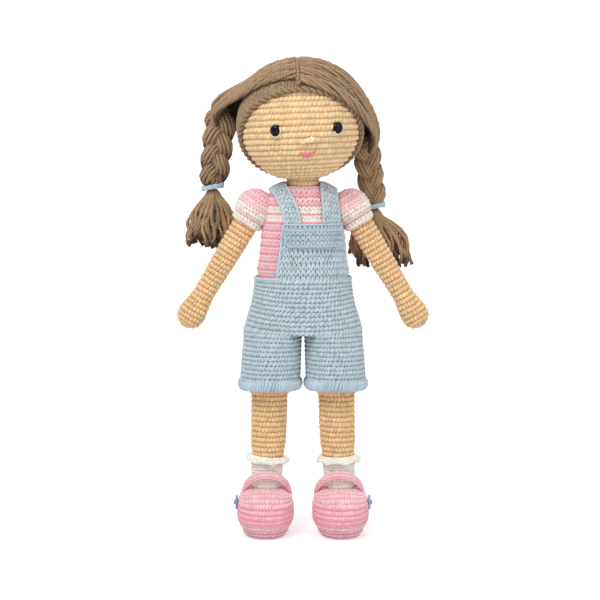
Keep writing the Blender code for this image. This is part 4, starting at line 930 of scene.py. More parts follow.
# %% Pad under the hair
def hair_pad(piece, label, side, rows=40, columns=30):
    row, column = place_grid(np.linspace(0.01, 0.99, rows), np.linspace(0, 1, columns))
    sheets = [hair_point(label, side, row, column, np.full(row.size, depth)) for depth in (0.02, 0.34)]
    quads = grid_quads(columns, rows, False)
    both = np.concatenate((quads, quads[:, ::-1] + rows * columns))
    rim = [(0, r) for r in range(rows - 1)] + [(c, rows - 1) for c in range(columns - 1)]
    rim += [(columns - 1, r) for r in range(rows - 1, 0, -1)] + [(c, 0) for c in range(columns - 1, 0, -1)]
    index = np.array([c * rows + r for c, r in rim])
    after = np.roll(index, -1)
    wall = np.stack((index, after, after + rows * columns, index + rows * columns), axis=1)
    # Painted shade: the pad has a low tone and the full depth.
    piece.add(np.concatenate(sheets), np.concatenate((both, wall)), None, -0.12, 1.0)


for label, side in SIDES:
    hair = Piece("hair_" + label + "_yarns")
    hair_yarns(hair, label, side)
    hair_pad(hair, label, side)
    hair.make("head", [HAIR], ["hair_" + label])

# %% [markdown]
# ## The parting
# A cord runs along the parting, and short stitches over it hold all the yarns down. The stitches are small
# arches across it, made in one loop, each turned a little so that the row looks sewn.

# %% Parting
def over_parting(angle, across):
    """A direction from the head's centre: angle runs from the brow over the crown, across to the side."""
    return unit(np.stack((across + 0 * angle, -np.cos(angle), np.sin(angle)), axis=-1))


seam = Piece("parting_stitches")
angles = np.linspace(math.radians(38), NAPE, 160)
cord(seam, on_head(over_parting(angles, 0.0), np.full(160, 0.0062)), 0.0013, lobe=0.2, turns_per_mm=0.15,
     tone=-0.04, depth=1.0)
s = np.linspace(-1, 1, 7)
crossings = [on_head(over_parting(angle + 0.02 * s, 0.030 * s),
                     0.0066 + 0.0014 * np.cos(s * math.pi / 2) - 0.0004)
             for angle in np.arange(math.radians(39), NAPE, math.radians(3.1))]
verts, quads, uv, valley = sweep(np.array(crossings), 0.00095, 6, lobe=0.1, turns_per_mm=0.2)
seam.add(verts, quads, uv, -0.02, valley * 0.5)
seam.make("head", [HAIR], ["hair_parting"])
print("stitches over the parting", len(crossings))

# %% [markdown]
# ## Plaits
# A plait has three strands that pass over each other in turn. Seen from above, each strand goes round a
# figure of eight, a third of a turn behind the next, while it runs down. Two sines make that path. Each
# strand is a bundle of yarns: one in the middle, five round it and eleven outside, which turn slowly
# together.

# %% A bundle of yarns
PLAIT_END = {"left": np.array((0.007, 0.001, -0.047)), "right": np.array((-0.007, 0.005, -0.052))}
BUNDLE = [(0.0, 0.0)] + [(share * math.cos(a), share * math.sin(a))
                         for share, count in ((0.48, 5), (0.84, 11))
                         for a in np.arange(count) * 2 * math.pi / count]


def bundle(centre, radius, twist):
    """Paths of the yarns that run beside a centre line and turn slowly about it."""
    tangent = unit(np.gradient(centre, axis=0))
    normal = carried_normals(tangent[None], np.array((0.0, -1.0, 0.0)))[0]
    binormal = np.cross(tangent, normal)
    turn = 2 * np.pi * twist * np.linspace(0, 1, len(centre))[:, None]
    radius = np.broadcast_to(radius, len(centre))[:, None]
    return np.array([centre + (normal * (a * np.cos(turn) - b * np.sin(turn))
                               + binormal * (a * np.sin(turn) + b * np.cos(turn))) * radius
                     for a, b in BUNDLE])


print("yarns in a strand", len(BUNDLE))

# %% [markdown]
# The plait starts above its root, under the hair, as one round bundle, and the strands part as they come out.
# Near the tie they are drawn together again. What lies behind the others gets more depth and so more painted
# shade.

# %% Plait
def plait(label, side, steps=60, periods=1.06, above=0.155):
    piece = Piece("plait_" + label + "_yarns")
    root, radius, run = PLAIT_ROOT[label], PLAIT_RADIUS[label], PLAIT_END[label]
    t = np.linspace(-above, 1.0, steps)
    taper = 1 - 0.10 * np.clip(t, 0, 1)
    spread = ease((t + above) / 0.16) * (1 - 0.55 * ease((t - 0.86) / 0.14))
    for strand in range(3):
        phase = 2 * np.pi * periods * t * side + 2 * np.pi * strand / 3 + 0.5
        centre = root + run * np.clip(t, 0, 1)[:, None]
        centre[:, 2] = root[2] - t * abs(run[2])
        centre[:, 0] += radius * 0.50 * np.sin(phase) * spread * taper
        centre[:, 1] += radius * 0.36 * np.sin(2 * phase) * spread * taper
        thick = radius * taper * (0.34 + 0.16 * spread) * (0.90 + 0.16 * np.abs(np.sin(phase)))
        tones = np.repeat(rng.normal(0, 0.07, len(BUNDLE)), steps * 6)
        verts, quads, uv, valley = sweep(bundle(centre, thick, 0.25), 0.00132, 6, lobe=0.12,
                                         turns_per_mm=0.10)
        # Painted shade: strands behind the others are darkened.
        shade_behind = np.clip((centre[:, 1] - root[1]) / (0.36 * radius) * 0.45 + 0.25, 0, 1)
        piece.add(verts, quads, uv, tones, valley * 0.4 + np.tile(np.repeat(shade_behind, 6), len(BUNDLE)))
    piece.make("braid_" + label, [HAIR], ["plait_" + label])


print("plaits run down by", [round(-run[2] / MM) for run in PLAIT_END.values()], "mm")

# %% [markdown]
# The tie is a pale blue yarn wound a little over three times round the plait's end, with its end tucked over
# the front. It is one helix, tilted as on the real doll, and a short curved yarn for the tuck.

# %% Hair tie
def tie(label, side, turns=3.2, tilt=0.20):
    piece = Piece("tie_" + label + "_cord")
    middle = PLAIT_ROOT[label] + PLAIT_END[label] - np.array((0, 0, 0.0023))
    t = np.linspace(0, 1, 110)
    angle = 2 * np.pi * turns * t
    path = np.stack((0.0082 * np.cos(angle), 0.0074 * np.sin(angle), 0.0030 * (t - 0.5)), axis=1)
    path[:, 2] += path[:, 0] * tilt
    cord(piece, middle + path, 0.00095, lobe=0.28, turns_per_mm=0.24, depth=1.0)
    t = np.linspace(0, 1, 12)
    tuck = np.stack((0.0022 * np.cos(5 * t), 0.0078 + 0.0008 * np.sin(4 * t), 0.0016 * np.sin(5 * t)), axis=1)
    cord(piece, middle + tuck, 0.0009, lobe=0.1, turns_per_mm=0.12, depth=1.0)
    piece.make("braid_" + label, [PALE_BLUE], ["hair_tie_" + label])


print("the tie is wound from about", round(3.2 * 2 * math.pi * 7.8), "mm of yarn")

# %% [markdown]
# ## Tassels
# Below the tie the loose ends fan out and end unevenly. Each yarn keeps its place in a packed round bundle,
# spread evenly by the golden angle, and drifts outwards as it falls, with a slow wave of its own. The
# bundle's head is round, because it sits in the tie and turns there.
# The yarns in the middle of the bundle are darkened as painted shade, and every yarn darkens towards its tip.

# %% Tassel
TASSEL_LENGTH = {"left": 0.0480, "right": 0.0470}
TASSEL_SPREAD = {"left": 0.0270, "right": 0.0215}
TASSEL_LEAN = {"left": 0.0080, "right": -0.0020}
HEAD_RADIUS = 0.0058
GOLDEN_ANGLE = 2.39996


def tassel(label, side, yarns=92, steps=24):
    piece = Piece("tassel_" + label + "_yarns")
    top = PLAIT_ROOT[label] + PLAIT_END[label] - np.array((0, 0, 0.0046 + HEAD_RADIUS))
    s = np.linspace(-0.13, 1, steps)
    neck = np.where(s < 0, np.sqrt(np.clip(1 - (s / 0.14) ** 2, 0.02, 1)), 1.0)
    places = (np.arange(yarns) + 0.5) / yarns
    paths = []
    for index in range(yarns):
        around, share = index * GOLDEN_ANGLE, math.sqrt((index + 0.5) / yarns)
        x, y = share * math.cos(around), share * math.sin(around)
        run = np.where(s < 0, s, s * rng.uniform(0.74, 1.03) * (1 - 0.05 * abs(x)))
        down = run.clip(0)
        fan = (1 - (1 - np.clip(run / 0.66, 0, 1)) ** 2.5) * (1 - 0.10 * ease((run - 0.75) / 0.3))
        width = HEAD_RADIUS * neck + (TASSEL_SPREAD[label] - HEAD_RADIUS - 0.0020) * fan
        thick = 0.0050 * neck + 0.0052 * fan
        sway, sway_back = [size * np.sin(2 * np.pi * (run * rng.uniform(0.8, 1.9) + rng.uniform(0, 1)))
                           * down ** 0.8 for size in (0.0028, 0.0020)]
        paths.append(np.stack((top[0] + TASSEL_LEAN[label] * down + x * width + sway,
                               top[1] + 0.0018 * down + y * thick + sway_back,
                               top[2] - (TASSEL_LENGTH[label] - HEAD_RADIUS) * run), axis=1))
    tones = np.repeat(rng.normal(-0.04, 0.12, yarns), steps * 6)
    verts, quads, uv, valley = sweep(np.array(paths), 0.00132, 6, lobe=0.16, turns_per_mm=0.12)
    # The tips are darkened; the inner yarns are painted shade.
    ends = np.tile(np.repeat(0.6 * ease((s.clip(0) - 0.72) / 0.28), 6), yarns)
    inner = np.repeat(0.9 * (1 - np.sqrt(places)), steps * 6)
    piece.add(verts, quads, uv, tones, valley * 0.4 + ends + inner)
    piece.make("tassel_" + label, [HAIR], ["tassel_" + label])


for label, side in SIDES:
    plait(label, side)
    tie(label, side)
    tassel(label, side)

# %% [markdown]
# ## The face
# The eyes, the nose and the mouth are small things on a curved face, so a helper places them: it takes a
# turn and a drop from the face's middle, and then x and y along the skin and a height off it. A shrinkwrap
# modifier would press a finished shape onto the stitches, but these shapes are made in place. The eyes are
# of moulded plastic, which is not quite even: its colour and gloss drift a little.

# %% Places on the face
FACE_TURN = math.radians(6.4)


def moulded(name, colour, light_colour, roughness, specular):
    """Moulded plastic: its colour and gloss drift a little, and its skin is very finely uneven."""
    material = plain(name, colour, roughness)
    tree = material.node_tree
    shader = tree.nodes["Principled BSDF"]
    shader.inputs["Specular IOR Level"].default_value = specular
    flow = speckle(tree, 700, 3)
    link(tree, blended(tree, flow, colour, light_colour), shader.inputs["Base Color"])
    link(tree, ranged(tree, flow, roughness * 0.8, roughness * 1.3), shader.inputs["Roughness"])
    bumped(tree, flow, 0.15, 0.00002)
    return material


def face_direction(turn, drop):
    turn = turn + FACE_TURN
    return np.array((math.sin(turn) * math.cos(drop), -math.cos(turn) * math.cos(drop), -math.sin(drop)))


def face_patch(turn, drop, xs, ys, heights):
    """Points near a place on the face: x to the doll's left, y up, height off the skin."""
    middle = face_direction(turn, drop)
    across = unit(np.cross((0, 0, 1.0), middle))
    up = np.cross(middle, across)
    normal = unit(middle / HEAD_RADII)
    base = HEAD_CENTRE + middle * HEAD_RADII
    xs, ys, heights = [np.asarray(item, float)[..., None] for item in (xs, ys, heights)]
    return leaned(base + across * xs + up * ys + normal * heights)


BLACK = moulded("black_plastic", (3, 3, 4), (6, 6, 7), 0.08, 0.28)
print("middle of the face", face_patch(0, 0, 0, 0, 0).round(4))

# %% [markdown]
# ## The eyes
# An eye is a glossy dome with a short wall that goes into the stitches. A sphere would hide half of itself
# in the head, so the dome is rings that shrink towards its top. A fine white thread lies round its lower
# edge, longer on one eye than on the other, as it was sewn by hand.

# %% Eyes
EYE_TURN, EYE_DROP = math.radians(30.4), math.radians(4.6)
EYE_WIDE, EYE_TALL = 0.0042, 0.0045
THREAD_ARC = {"left": (-150, 20), "right": (-160, 30)}


def eye(label, side, sides=28, rings=9):
    angle = 2 * np.pi * np.arange(sides) / sides
    xs, ys, heights = [], [], []
    for ring in range(rings):
        share = math.sin(math.pi / 2 * (1 - ring / (rings - 1)))
        xs.append(EYE_WIDE * max(share, 0.02) * np.cos(angle))
        ys.append(EYE_TALL * max(share, 0.02) * np.sin(angle))
        heights.append(np.full(sides, 0.0012 + 0.0027 * math.cos(math.asin(share))))
    xs.insert(0, xs[0] * 0.96)
    ys.insert(0, ys[0] * 0.96)
    heights.insert(0, np.full(sides, -0.0012))
    verts = face_patch(side * EYE_TURN, EYE_DROP, *[np.concatenate(item) for item in (xs, ys, heights)])
    top = rings * sides
    cover = [(top + i, top + i + 1, top + sides - 2 - i, top + sides - 1 - i) for i in range(sides // 2 - 1)]
    dome = Piece("eye_" + label + "_dome")
    dome.add(verts, np.concatenate((grid_quads(rings + 1, sides, True), np.array(cover))))
    dome.make("head", [BLACK], ["eye_" + label])


def eye_thread(label, side):
    angle = np.linspace(math.radians(THREAD_ARC[label][0]), math.radians(THREAD_ARC[label][1]), 26)
    path = face_patch(side * EYE_TURN, EYE_DROP, 0.0046 * np.cos(angle), 0.0049 * np.sin(angle),
                      np.full(26, 0.0018))
    white = Piece("eye_" + label + "_thread")
    cord(white, path, 0.00042, 6, lobe=0.1, turns_per_mm=0.4, tone=0.05, depth=0.0)
    white.make("head", [CREAM], ())


for label, side in SIDES:
    eye(label, side)
    eye_thread(label, side)

# %% [markdown]
# ## The nose and the mouth
# The nose is three slanting stitches of skin yarn, side by side. The mouth is a row of short pink stitches
# in a shallow V, with two more over its middle. Every stitch is an arch from one hole to the next, so all
# of them come from one helper, which takes the two ends.

# %% Nose and mouth
ALONG_STITCH = np.linspace(-1, 1, 9)
NOSE_DROP, MOUTH_DROP = math.radians(15.6), math.radians(30)
NOSE = ((-0.0022, 0.0, 0.0034), (0.0002, 0.0006, 0.0042), (0.0026, 0.0004, 0.0036))
MOUTH_ENDS = ((-0.0056, 0.0017, -0.0022, -0.0004), (-0.0034, 0.0004, 0.0, -0.0022),
              (0.0, -0.0022, 0.0034, 0.0004), (0.0022, -0.0004, 0.0056, 0.0019),
              (-0.0032, 0.0004, 0.0002, -0.0008), (-0.0002, -0.0008, 0.0034, 0.0006))


def arched(drop, xs, ys, low, rise):
    """A stitch over the skin that is lowest at its two ends."""
    return face_patch(0, drop, xs, ys, low + rise * np.cos(ALONG_STITCH * math.pi / 2))


paths = [arched(NOSE_DROP, shift + ALONG_STITCH * length * 0.75, ALONG_STITCH * length * 0.42 + up,
                0.0012, 0.0016) for shift, up, length in NOSE]
verts, quads, uv, valley = sweep(np.array(paths), 0.00125, 8, lobe=0.08, turns_per_mm=0.25)
nose = Piece("nose_stitches")
nose.add(verts, quads, uv, 0.05, valley * 0.3)
nose.make("head", [SKIN_LIGHT], ["nose"])

share = (ALONG_STITCH + 1) / 2
paths = [arched(MOUTH_DROP, x0 + (x1 - x0) * share, y0 + (y1 - y0) * share, 0.0010, 0.0009)
         for x0, y0, x1, y1 in MOUTH_ENDS]
verts, quads, uv, valley = sweep(np.array(paths), 0.00085, 8, lobe=0.1, turns_per_mm=0.3)
mouth = Piece("mouth_stitches")
mouth.add(verts, quads, uv, 0.0, valley * 0.3)
mouth.make("head", [MOUTH], ["mouth"])

# %% [markdown]
# ## The body
# The body is one stuffed tube, widest at the seat, that closes in at the shoulders to the neck. Its section
# is a little squarer than an oval. The shape is kept as a table of heights, half widths and half depths,
# and as a surface function, so that the shirt, the bib and the straps can all be laid on it.

# %% Torso surface
TORSO = profile([(0.165 + a * 0.115, b * 0.0345, c * 0.0235) for a, b, c in (
    (0.000, 1.270, 1.115), (0.085, 1.194, 1.080), (0.174, 1.096, 1.050), (0.252, 1.049, 1.015),
    (0.365, 1.003, 0.987), (0.417, 1.052, 1.020), (0.500, 1.000, 1.013), (0.610, 0.965, 1.000),
    (0.700, 0.940, 0.985), (0.765, 0.900, 0.965), (0.843, 0.890, 0.915), (0.913, 0.850, 0.810),
    (0.960, 0.720, 0.680), (0.988, 0.550, 0.560), (1.000, 0.430, 0.490))], blur=4)


def torso_skin(offset=0.0):
    def surface(u, v):
        x, y = ring_xy(u, TORSO(v, 0) + offset, TORSO(v, 1) + offset, 2.2)
        return np.stack((x, y, v + 0 * u), axis=-1)
    return surface


TORSO_POWER = 2.2


def torso_skin(offset=0.0):
    def surface(u, v):
        x, y = ring_xy(u, TORSO(v, 0) + offset, TORSO(v, 1) + offset, TORSO_POWER)
        return np.stack((x, y, v + 0 * u), axis=-1)
    return surface


print("half width and depth at the chest", [float(TORSO(0.25, item).round(4)) for item in (0, 1)])

# %% [markdown]
# ## The shirt
# The shirt is worked in rounds of pink, with two cream bands over the chest. The pink yarn changes shade as
# it runs, so pale and deep rounds follow in turns. A paint function gives each stitch its yarn by its
# height: that keeps one mesh for the shirt, where a piece for each round would show seams. Stitches under
# the shorts, the bib and the straps can't be seen and are skipped.

# %% Shirt
CREAM_LOW, CREAM_HIGH, ROUND = 0.2514, 0.2650, 0.0062
BANDS = np.concatenate((np.arange(CREAM_LOW - 14 * ROUND, 0.2500, ROUND),
                        [CREAM_LOW, 0.2582, CREAM_HIGH, 0.2718, 0.2785]))
SHIRT_ROWS = np.sort(np.concatenate((BANDS, (BANDS[1:] + BANDS[:-1]) / 2)))
PALE_PINK = yarn("pale_pink_yarn", (255, 220, 226), (246, 176, 196), deep=0.6)
SHIRT = [PINK, CREAM, DEEP_PINK, PALE_PINK]
SMALL_STITCH = stitch(2.9 * MM, 3.1 * MM, 0.82 * MM, arch=0.55, spread=0.30, steps=5)


def stripe(points, u, v):
    pale = np.searchsorted(SHIRT_ROWS, v) % 2 == 0
    return np.where((v > CREAM_LOW) & (v < CREAM_HIGH), 1, np.where(pale, 3, 0))


def level_outwards(point):
    return point[0], point[1], 0


shirt = Piece("shirt_crochet")
covered = hidden_by(["shorts_waist", "bib", "strap_left", "strap_right"], level_outwards)
crochet(shirt, torso_skin(), SHIRT_ROWS, 2.9 * MM, SMALL_STITCH, paint=stripe, lift=-0.0006, skip=covered,
        backing=-0.0003, tone=0.025)
print("rounds of the shirt", len(SHIRT_ROWS) - 1)

# %% [markdown]
# A darker strand shows between the rounds, thickest under the first cream band, and two turns of yarn
# finish the collar. They are cords laid along the same surface.

# %% Lines between the rounds, and the collar
RING_U = np.linspace(0, 1, 121)
for level in BANDS[1:-1]:
    wave = 0.0002 * np.sin(RING_U * 2 * np.pi * 50)
    path = on_surface(torso_skin(), RING_U, np.full(121, level), 0.0003 + wave)
    thickest = abs(level - CREAM_LOW) < 0.0005
    cord(shirt, path, 0.00100 if thickest else 0.00055, 6, turns_per_mm=0.15, tone=0.04, slot=2)
for level, out in ((0.2786, 0.0), (0.2796, -0.0012)):
    path = on_surface(torso_skin(), RING_U, np.full(121, level), np.full(121, out))
    cord(shirt, path, 0.00125, lobe=0.15, depth=0.6)
shirt.make("torso", SHIRT, ["shirt_body"])

# %% [markdown]
# ## The neck
# A short tube of skin yarn joins the head to the body, mostly hidden by both. It uses the wide flat bar
# stitch that the arms and legs are made of.

# %% Neck
NECK_RADIUS = 0.0130
LIMB_STITCH = rib(3.3 * MM, 4.1 * MM, 1.08 * MM, slant=0.12, wide=1.95, arch=0.12, hump=0.09, ends=0.05,
                  overlap=0.54)


def neck_skin(u, v):
    x, y = ring_xy(u, NECK_RADIUS + 0 * v, NECK_RADIUS + 0 * v, 2)
    return np.stack((x, y, v + 0 * u), axis=-1)


neck = Piece("neck_crochet")
crochet(neck, neck_skin, np.linspace(0.2755, 0.2925, 5), 3.1 * MM, LIMB_STITCH, lift=-0.0006, backing=0.0)
neck.make("torso", [SKIN], ["neck"])

# %% [markdown]
# ## The shape of an arm and its sleeve
# An arm is a thin stuffed tube with a rounded top that slopes out from the shoulder. It is described
# upright, with the shoulder at zero, and then turned and moved, so both arms share one table. The puff
# sleeve is most of a ball about the same point, so it can turn with the arm without a gap. A rolled band
# closes its mouth.

# %% Arm and sleeve surfaces
SLOPE = math.radians(31)
CROWN = [(-0.0130 * math.cos(a), 0.0130 * math.sin(a)) for a in np.linspace(0.25, math.radians(127), 6)]
ARM = profile(CROWN + [(0.110 * d, 0.0098 * r) for d, r in (
    (0.090, 1.00), (0.260, 0.98), (0.430, 0.95), (0.600, 0.86), (0.720, 0.83), (0.800, 0.95), (0.880, 1.12),
    (0.940, 1.06), (0.980, 0.76), (1.000, 0.30), (1.006, 0.04))], blur=4)


def shoulder(side):
    return np.array((side * 0.03825, 0.0, 0.262))


def shoulder_frame(side):
    turn = np.array(Matrix.Rotation(-side * SLOPE, 3, "Y"))
    return lambda points: points @ turn.T + shoulder(side)


def arm_skin(side):
    place = shoulder_frame(side)

    def surface(u, v):
        x, y = ring_xy(u, ARM(-v), ARM(-v), 2)
        return place(np.stack((x, y, v + 0 * u), axis=-1))
    return surface


def sleeve_skin(side, radius=0.0150):
    place = shoulder_frame(side)

    def surface(u, v):
        x, y = ring_xy(u, radius * np.sin(-v), radius * np.sin(-v), 2)
        return place(np.stack((x, y, radius * np.cos(-v)), axis=-1))
    return surface


def ring_band(place, radius, thick, low, high):
    """A soft rolled band: v runs round its section, from the lower inside over the outside to the upper."""
    def surface(u, v):
        angle = np.pi * (0.5 - v) * 1.15
        out = radius + thick * np.cos(angle)
        x, y = ring_xy(u, out, out, 2)
        return place(np.stack((x, y, (low + high) / 2 - (high - low) / 2 * np.sin(angle)), axis=-1))
    return surface


print("left hand ends near", arm_skin(1)(np.array([0.0]), np.array([-0.110]))[0].round(4))

# %% [markdown]
# ## Arm
# The rows go round the arm at an even pitch from the hand up. The rounds inside the sleeve are skipped, and
# the backing cloth goes on alone there. The arm is stuffed.

# %% Arm
def arm(label, side):
    piece = Piece("arm_" + label + "_crochet")
    surface = arm_skin(side)
    crochet(piece, surface, row_levels(surface, -0.1105, 0.0120, 4.1 * MM, u=0.0), 3.0 * MM, LIMB_STITCH,
            lift=-0.0005, columns=40, backing=0.0, skip=lambda points, u, v: v > -0.008)
    piece.make("arm_" + label, [LIMB], ["arm_" + label])


print("rows on an arm", len(row_levels(arm_skin(1), -0.1105, 0.0120, 4.1 * MM, u=0.0)) - 1)

# %% [markdown]
# ## Puff sleeve
# The sleeve carries on the colours of the shirt, with cream near its mouth. Its stitches inside the shirt's
# solid are skipped. The hem is a rolled band of cream V stitches.

# %% Sleeve, then both arms
SLEEVE_STITCH = stitch(3.0 * MM, 3.6 * MM, 0.85 * MM, arch=0.3)


def sleeve(label, side):
    piece = Piece("sleeve_" + label + "_crochet")
    surface = sleeve_skin(side)
    levels = row_levels(surface, -math.radians(126), -0.12, 3.1 * MM, u=0.0)

    def paint(points, u, v):
        row = np.searchsorted(levels, v)
        return np.where(-v > 1.46, np.where(row % 3 == 1, 3, 1), np.where(row % 2 == 1, 3, 0))

    in_shirt = hidden_by(["shirt_body"], lambda point: point - shoulder(side), 0.004)
    crochet(piece, surface, levels, 2.9 * MM, SMALL_STITCH, paint=paint, columns=56, backing=0.0, back_slot=0,
            lift=-0.0003, skip=in_shirt)
    piece.make("arm_" + label, SHIRT, ["sleeve_" + label])


def sleeve_hem(label, side):
    piece = Piece("sleeve_hem_" + label + "_crochet")
    band = ring_band(shoulder_frame(side), 0.0105, 0.0018, -0.0140, -0.0094)
    crochet(piece, band, np.linspace(0.0, 1.0, 3), 3.0 * MM, SLEEVE_STITCH, columns=40, backing=-0.0003)
    piece.make("arm_" + label, [CREAM], ["sleeve_hem_" + label])


for label, side in SIDES:
    arm(label, side)
    sleeve(label, side)
    sleeve_hem(label, side)

# %% [markdown]
# ## The shape of a leg
# A leg is a tube from the ankle in the shoe to the hip in the shorts. The feet stand apart and the hips are
# close, so its middle moves inwards on the way up. Its round section widens to the thigh, where it is a
# little squarer, as the two thighs press on each other. Rounds laid on it can't gape, because every row
# asks the same surface.

# %% Leg surface
SHIN = ((0.073, 0, 0.45), (0.085, 0, 0.68), (0.115, 0, 0.78), (0.190, 0.05, 0.81), (0.310, 0.18, 0.81),
        (0.370, 0.28, 0.86), (0.440, 0.38, 0.97), (0.560, 0.48, 1.00), (0.690, 0.56, 1.00))
THIGH = ((0.722, 0.62, 1.01, 0.96), (0.800, 0.70, 1.01, 1.00), (0.890, 0.84, 0.99, 1.005),
         (0.984, 0.98, 0.98, 0.995), (1.000, 1.00, 0.98, 0.99))
SEAT = 0.1647
FOOT_X = 0.0302
LEG = profile([(s * SEAT, FOOT_X - 0.006 * d, 0.014 * r, 0.014 * r) for s, d, r in SHIN]
              + [(s * SEAT, FOOT_X - 0.006 * d, 0.020 * w, 0.0242 * h) for s, d, w, h in THIGH], blur=3)


def leg_skin(side, offset=0.0):
    def surface(u, v):
        power = 2.0 + 0.4 * ease((v - 0.112) / 0.008)
        x, y = ring_xy(u, LEG(v, 1) + offset, LEG(v, 2) + offset, power)
        back = 0.003 * (1 - ease(np.minimum(v / 0.1178, 1)))
        return np.stack((side * LEG(v, 0) + x, y + back, v + 0 * u), axis=-1)
    return surface


def lining(piece, surface, low, high, rows, columns, tone, depth):
    """A plain tube of cloth, for a place where stitches would hardly be seen; its tone and depth paint shade
    on it.
    """
    u, v = place_grid(round_u(columns), np.linspace(low, high, rows))
    piece.add(surface(u, v), grid_quads(rows, columns, True), None, tone, depth)


print("left leg's middle at the ankle and the hip", [float(LEG(v, 0).round(4)) for v in (0.03, 0.16)])

# %% [markdown]
# ## The waist of the shorts
# The seat of the shorts is worked in rounds over the lower body, in bar stitches that lean. Its lower rows sag a little in front. Its upper edge is finished with a pale cord that stops at each side of the
# bib.

# %% Waist
BLUE_RIB = rib(3.0 * MM, 3.6 * MM, 0.95 * MM, slant=0.32, wide=1.5, arch=0.2, hump=0.14, ends=0.28)
WAIST_TOP = 0.2068


def waist_skin(u, v):
    points = torso_skin(0.0031)(u, v)
    points[..., 1] *= 1 - 0.075 * (1 - ease((v - 0.1630) / 0.0160))
    ahead = np.clip(-np.sin(2 * np.pi * u), 0, 1)
    points[..., 2] -= 0.0032 * ahead ** 2 * ease((WAIST_TOP - v) / 0.0150) * ease((v - 0.1600) / 0.0120)
    return points


waist = Piece("shorts_waist_crochet")
crochet(waist, waist_skin, row_levels(waist_skin, 0.1632, WAIST_TOP, 3.6 * MM), 2.9 * MM, BLUE_RIB, lift=0.0,
        columns=120, backing=0.0)
beside_bib = np.linspace(-0.075, 0.675, 180)
edge = on_surface(waist_skin, beside_bib, np.full(180, WAIST_TOP), np.full(180, 0.0003))
cord(waist, edge, 0.00115, tone=0.04, slot=1)
waist.make("torso", [BLUE, PALE_BLUE], ["shorts_waist"])

# %% [markdown]
# ## The legs of the shorts
# Each leg of the shorts is a tube over the thigh, and its top has to meet the waist, which is wider than two
# thighs. So near the top the surface is pulled out to the waist's outline, only on the outer side. The hip
# bends inside this cloth, so it can't belong to one body only. It is attached to neither: it stays where it is
# made.

# %% Shorts surface
WAIST_BASE = np.abs(waist_skin(np.array((0.0, 0.25)), np.array((0.1640, 0.1640))))[(0, 1), (0, 1)]
CLOTH_THICKNESS = 0.0030


def shorts_skin(side, offset=CLOTH_THICKNESS):
    """The leg of the shorts: near its top it moves to meet the waist."""
    below = leg_skin(side, offset)
    wide, deep = WAIST_BASE + offset - CLOTH_THICKNESS

    def surface(u, v):
        points = below(u, v)
        share = ((np.abs(points[..., 0]) / wide) ** 2.2 + (np.abs(points[..., 1]) / deep) ** 2.2) ** (1 / 2.2)
        pull = ease((v - 0.146) / 0.019) * ease((share - 0.72) / 0.16)
        points[..., :2] *= (1 + (1 / share - 1) * pull)[..., None]
        return points
    return surface


print("half width and depth of the waist's base", WAIST_BASE.round(4))

# %% [markdown]
# ## The cuffs
# A cuff is rolled, and its pale yarn is whipped over and over the roll. So it isn't rows of stitches: it is
# one rounded band with many short slanting strands across it.

# %% Leg, cloth and cuff
def whipped(surface, count, radius, slant, reach, arch=0.0, steps=9):
    """Yarn laid over and over an edge: v runs across the edge and u along it."""
    v = np.linspace(0, 1, steps)[None, :]
    u = (np.arange(count) / count)[:, None] + slant * (v - 0.5) / count
    height = reach + arch * np.sin(np.pi * v) + 0 * u
    points = on_surface(surface, u.ravel(), (v + 0 * u).ravel(), height.ravel())
    return sweep(points.reshape(count, steps, 3), radius, 6, lobe=0.12, turns_per_mm=0.14)


def leg(label, side):
    piece = Piece("leg_" + label + "_crochet")
    surface = leg_skin(side)
    crochet(piece, surface, row_levels(surface, 0.0582, 0.1225, 4.1 * MM, u=0.0), 3.0 * MM, LIMB_STITCH,
            lift=-0.0004, columns=48, backing=0.0)
    # Painted shade: the linings under the sock and the shorts are darkened towards the shade colour.
    lining(piece, surface, 0.0125, 0.0600, 14, 48, -0.1, 0.8)
    lining(piece, shorts_skin(side, 0.0), 0.1220, 0.1640, 14, 48, -0.1, 0.8)
    piece.make("leg_" + label, [LIMB], ["leg_" + label])


def shorts_leg(label, side):
    cloth = Piece("shorts_leg_" + label + "_crochet")
    surface = shorts_skin(side)
    crochet(cloth, surface, row_levels(surface, 0.1205, 0.1638, 3.6 * MM, u=0.0), 2.9 * MM, BLUE_RIB,
            lift=0.0, columns=72, backing=0.0)
    bend = ("torso", "leg_" + label, (side * 0.0242, 0, 0.166), (side * 0.0242, 0, 0.138))
    cloth.make(bend, [BLUE], ["shorts_leg_" + label])


def cuff(label, side, strands=76):
    def roll(u, v):
        angle = np.pi * (0.5 - v) * 1.2
        level = np.clip(0.1218 - 0.0030 * np.sin(angle), 0.1185, 0.1316)
        base = leg_skin(side, 0.0034)(u, level)
        out = base - leg_skin(side, 0.0)(u, level)
        return base + out / 0.0034 * 0.0012 * np.cos(angle)[..., None]

    piece = Piece("cuff_" + label + "_crochet")
    # Painted shade: the roll under the strands is darkened, so the gaps between them read as shade.
    lining(piece, roll, 0, 1, 10, 96, -0.05, 0.7)
    verts, quads, uv, valley = whipped(roll, strands, 0.00115, 0.9, 0.0002)
    piece.add(verts, quads, uv, np.repeat(rng.normal(0, 0.05, strands), len(verts) // strands), valley * 0.5)
    piece.make("leg_" + label, [PALE_BLUE], ["cuff_" + label])


for label, side in SIDES:
    leg(label, side)
    shorts_leg(label, side)
    cuff(label, side)

# %% [markdown]
# ## The bib
# The bib is a flat piece of open V stitches sewn over the front of the shirt, turned a little to the doll's
# left, with a pale cord round its three free edges. A panel function lays such a piece on the body: u runs
# across it and v up it. A plane with a shrinkwrap would stretch its stitches over the curve.

# %% Bib
BIB_TURN, BIB_SPREAD = math.radians(18), math.radians(49)
EDGE = np.linspace(0, 1, 40)


def torso_at(angle, height, offset):
    return torso_skin(offset)((angle - math.pi / 2) / (2 * math.pi), height)


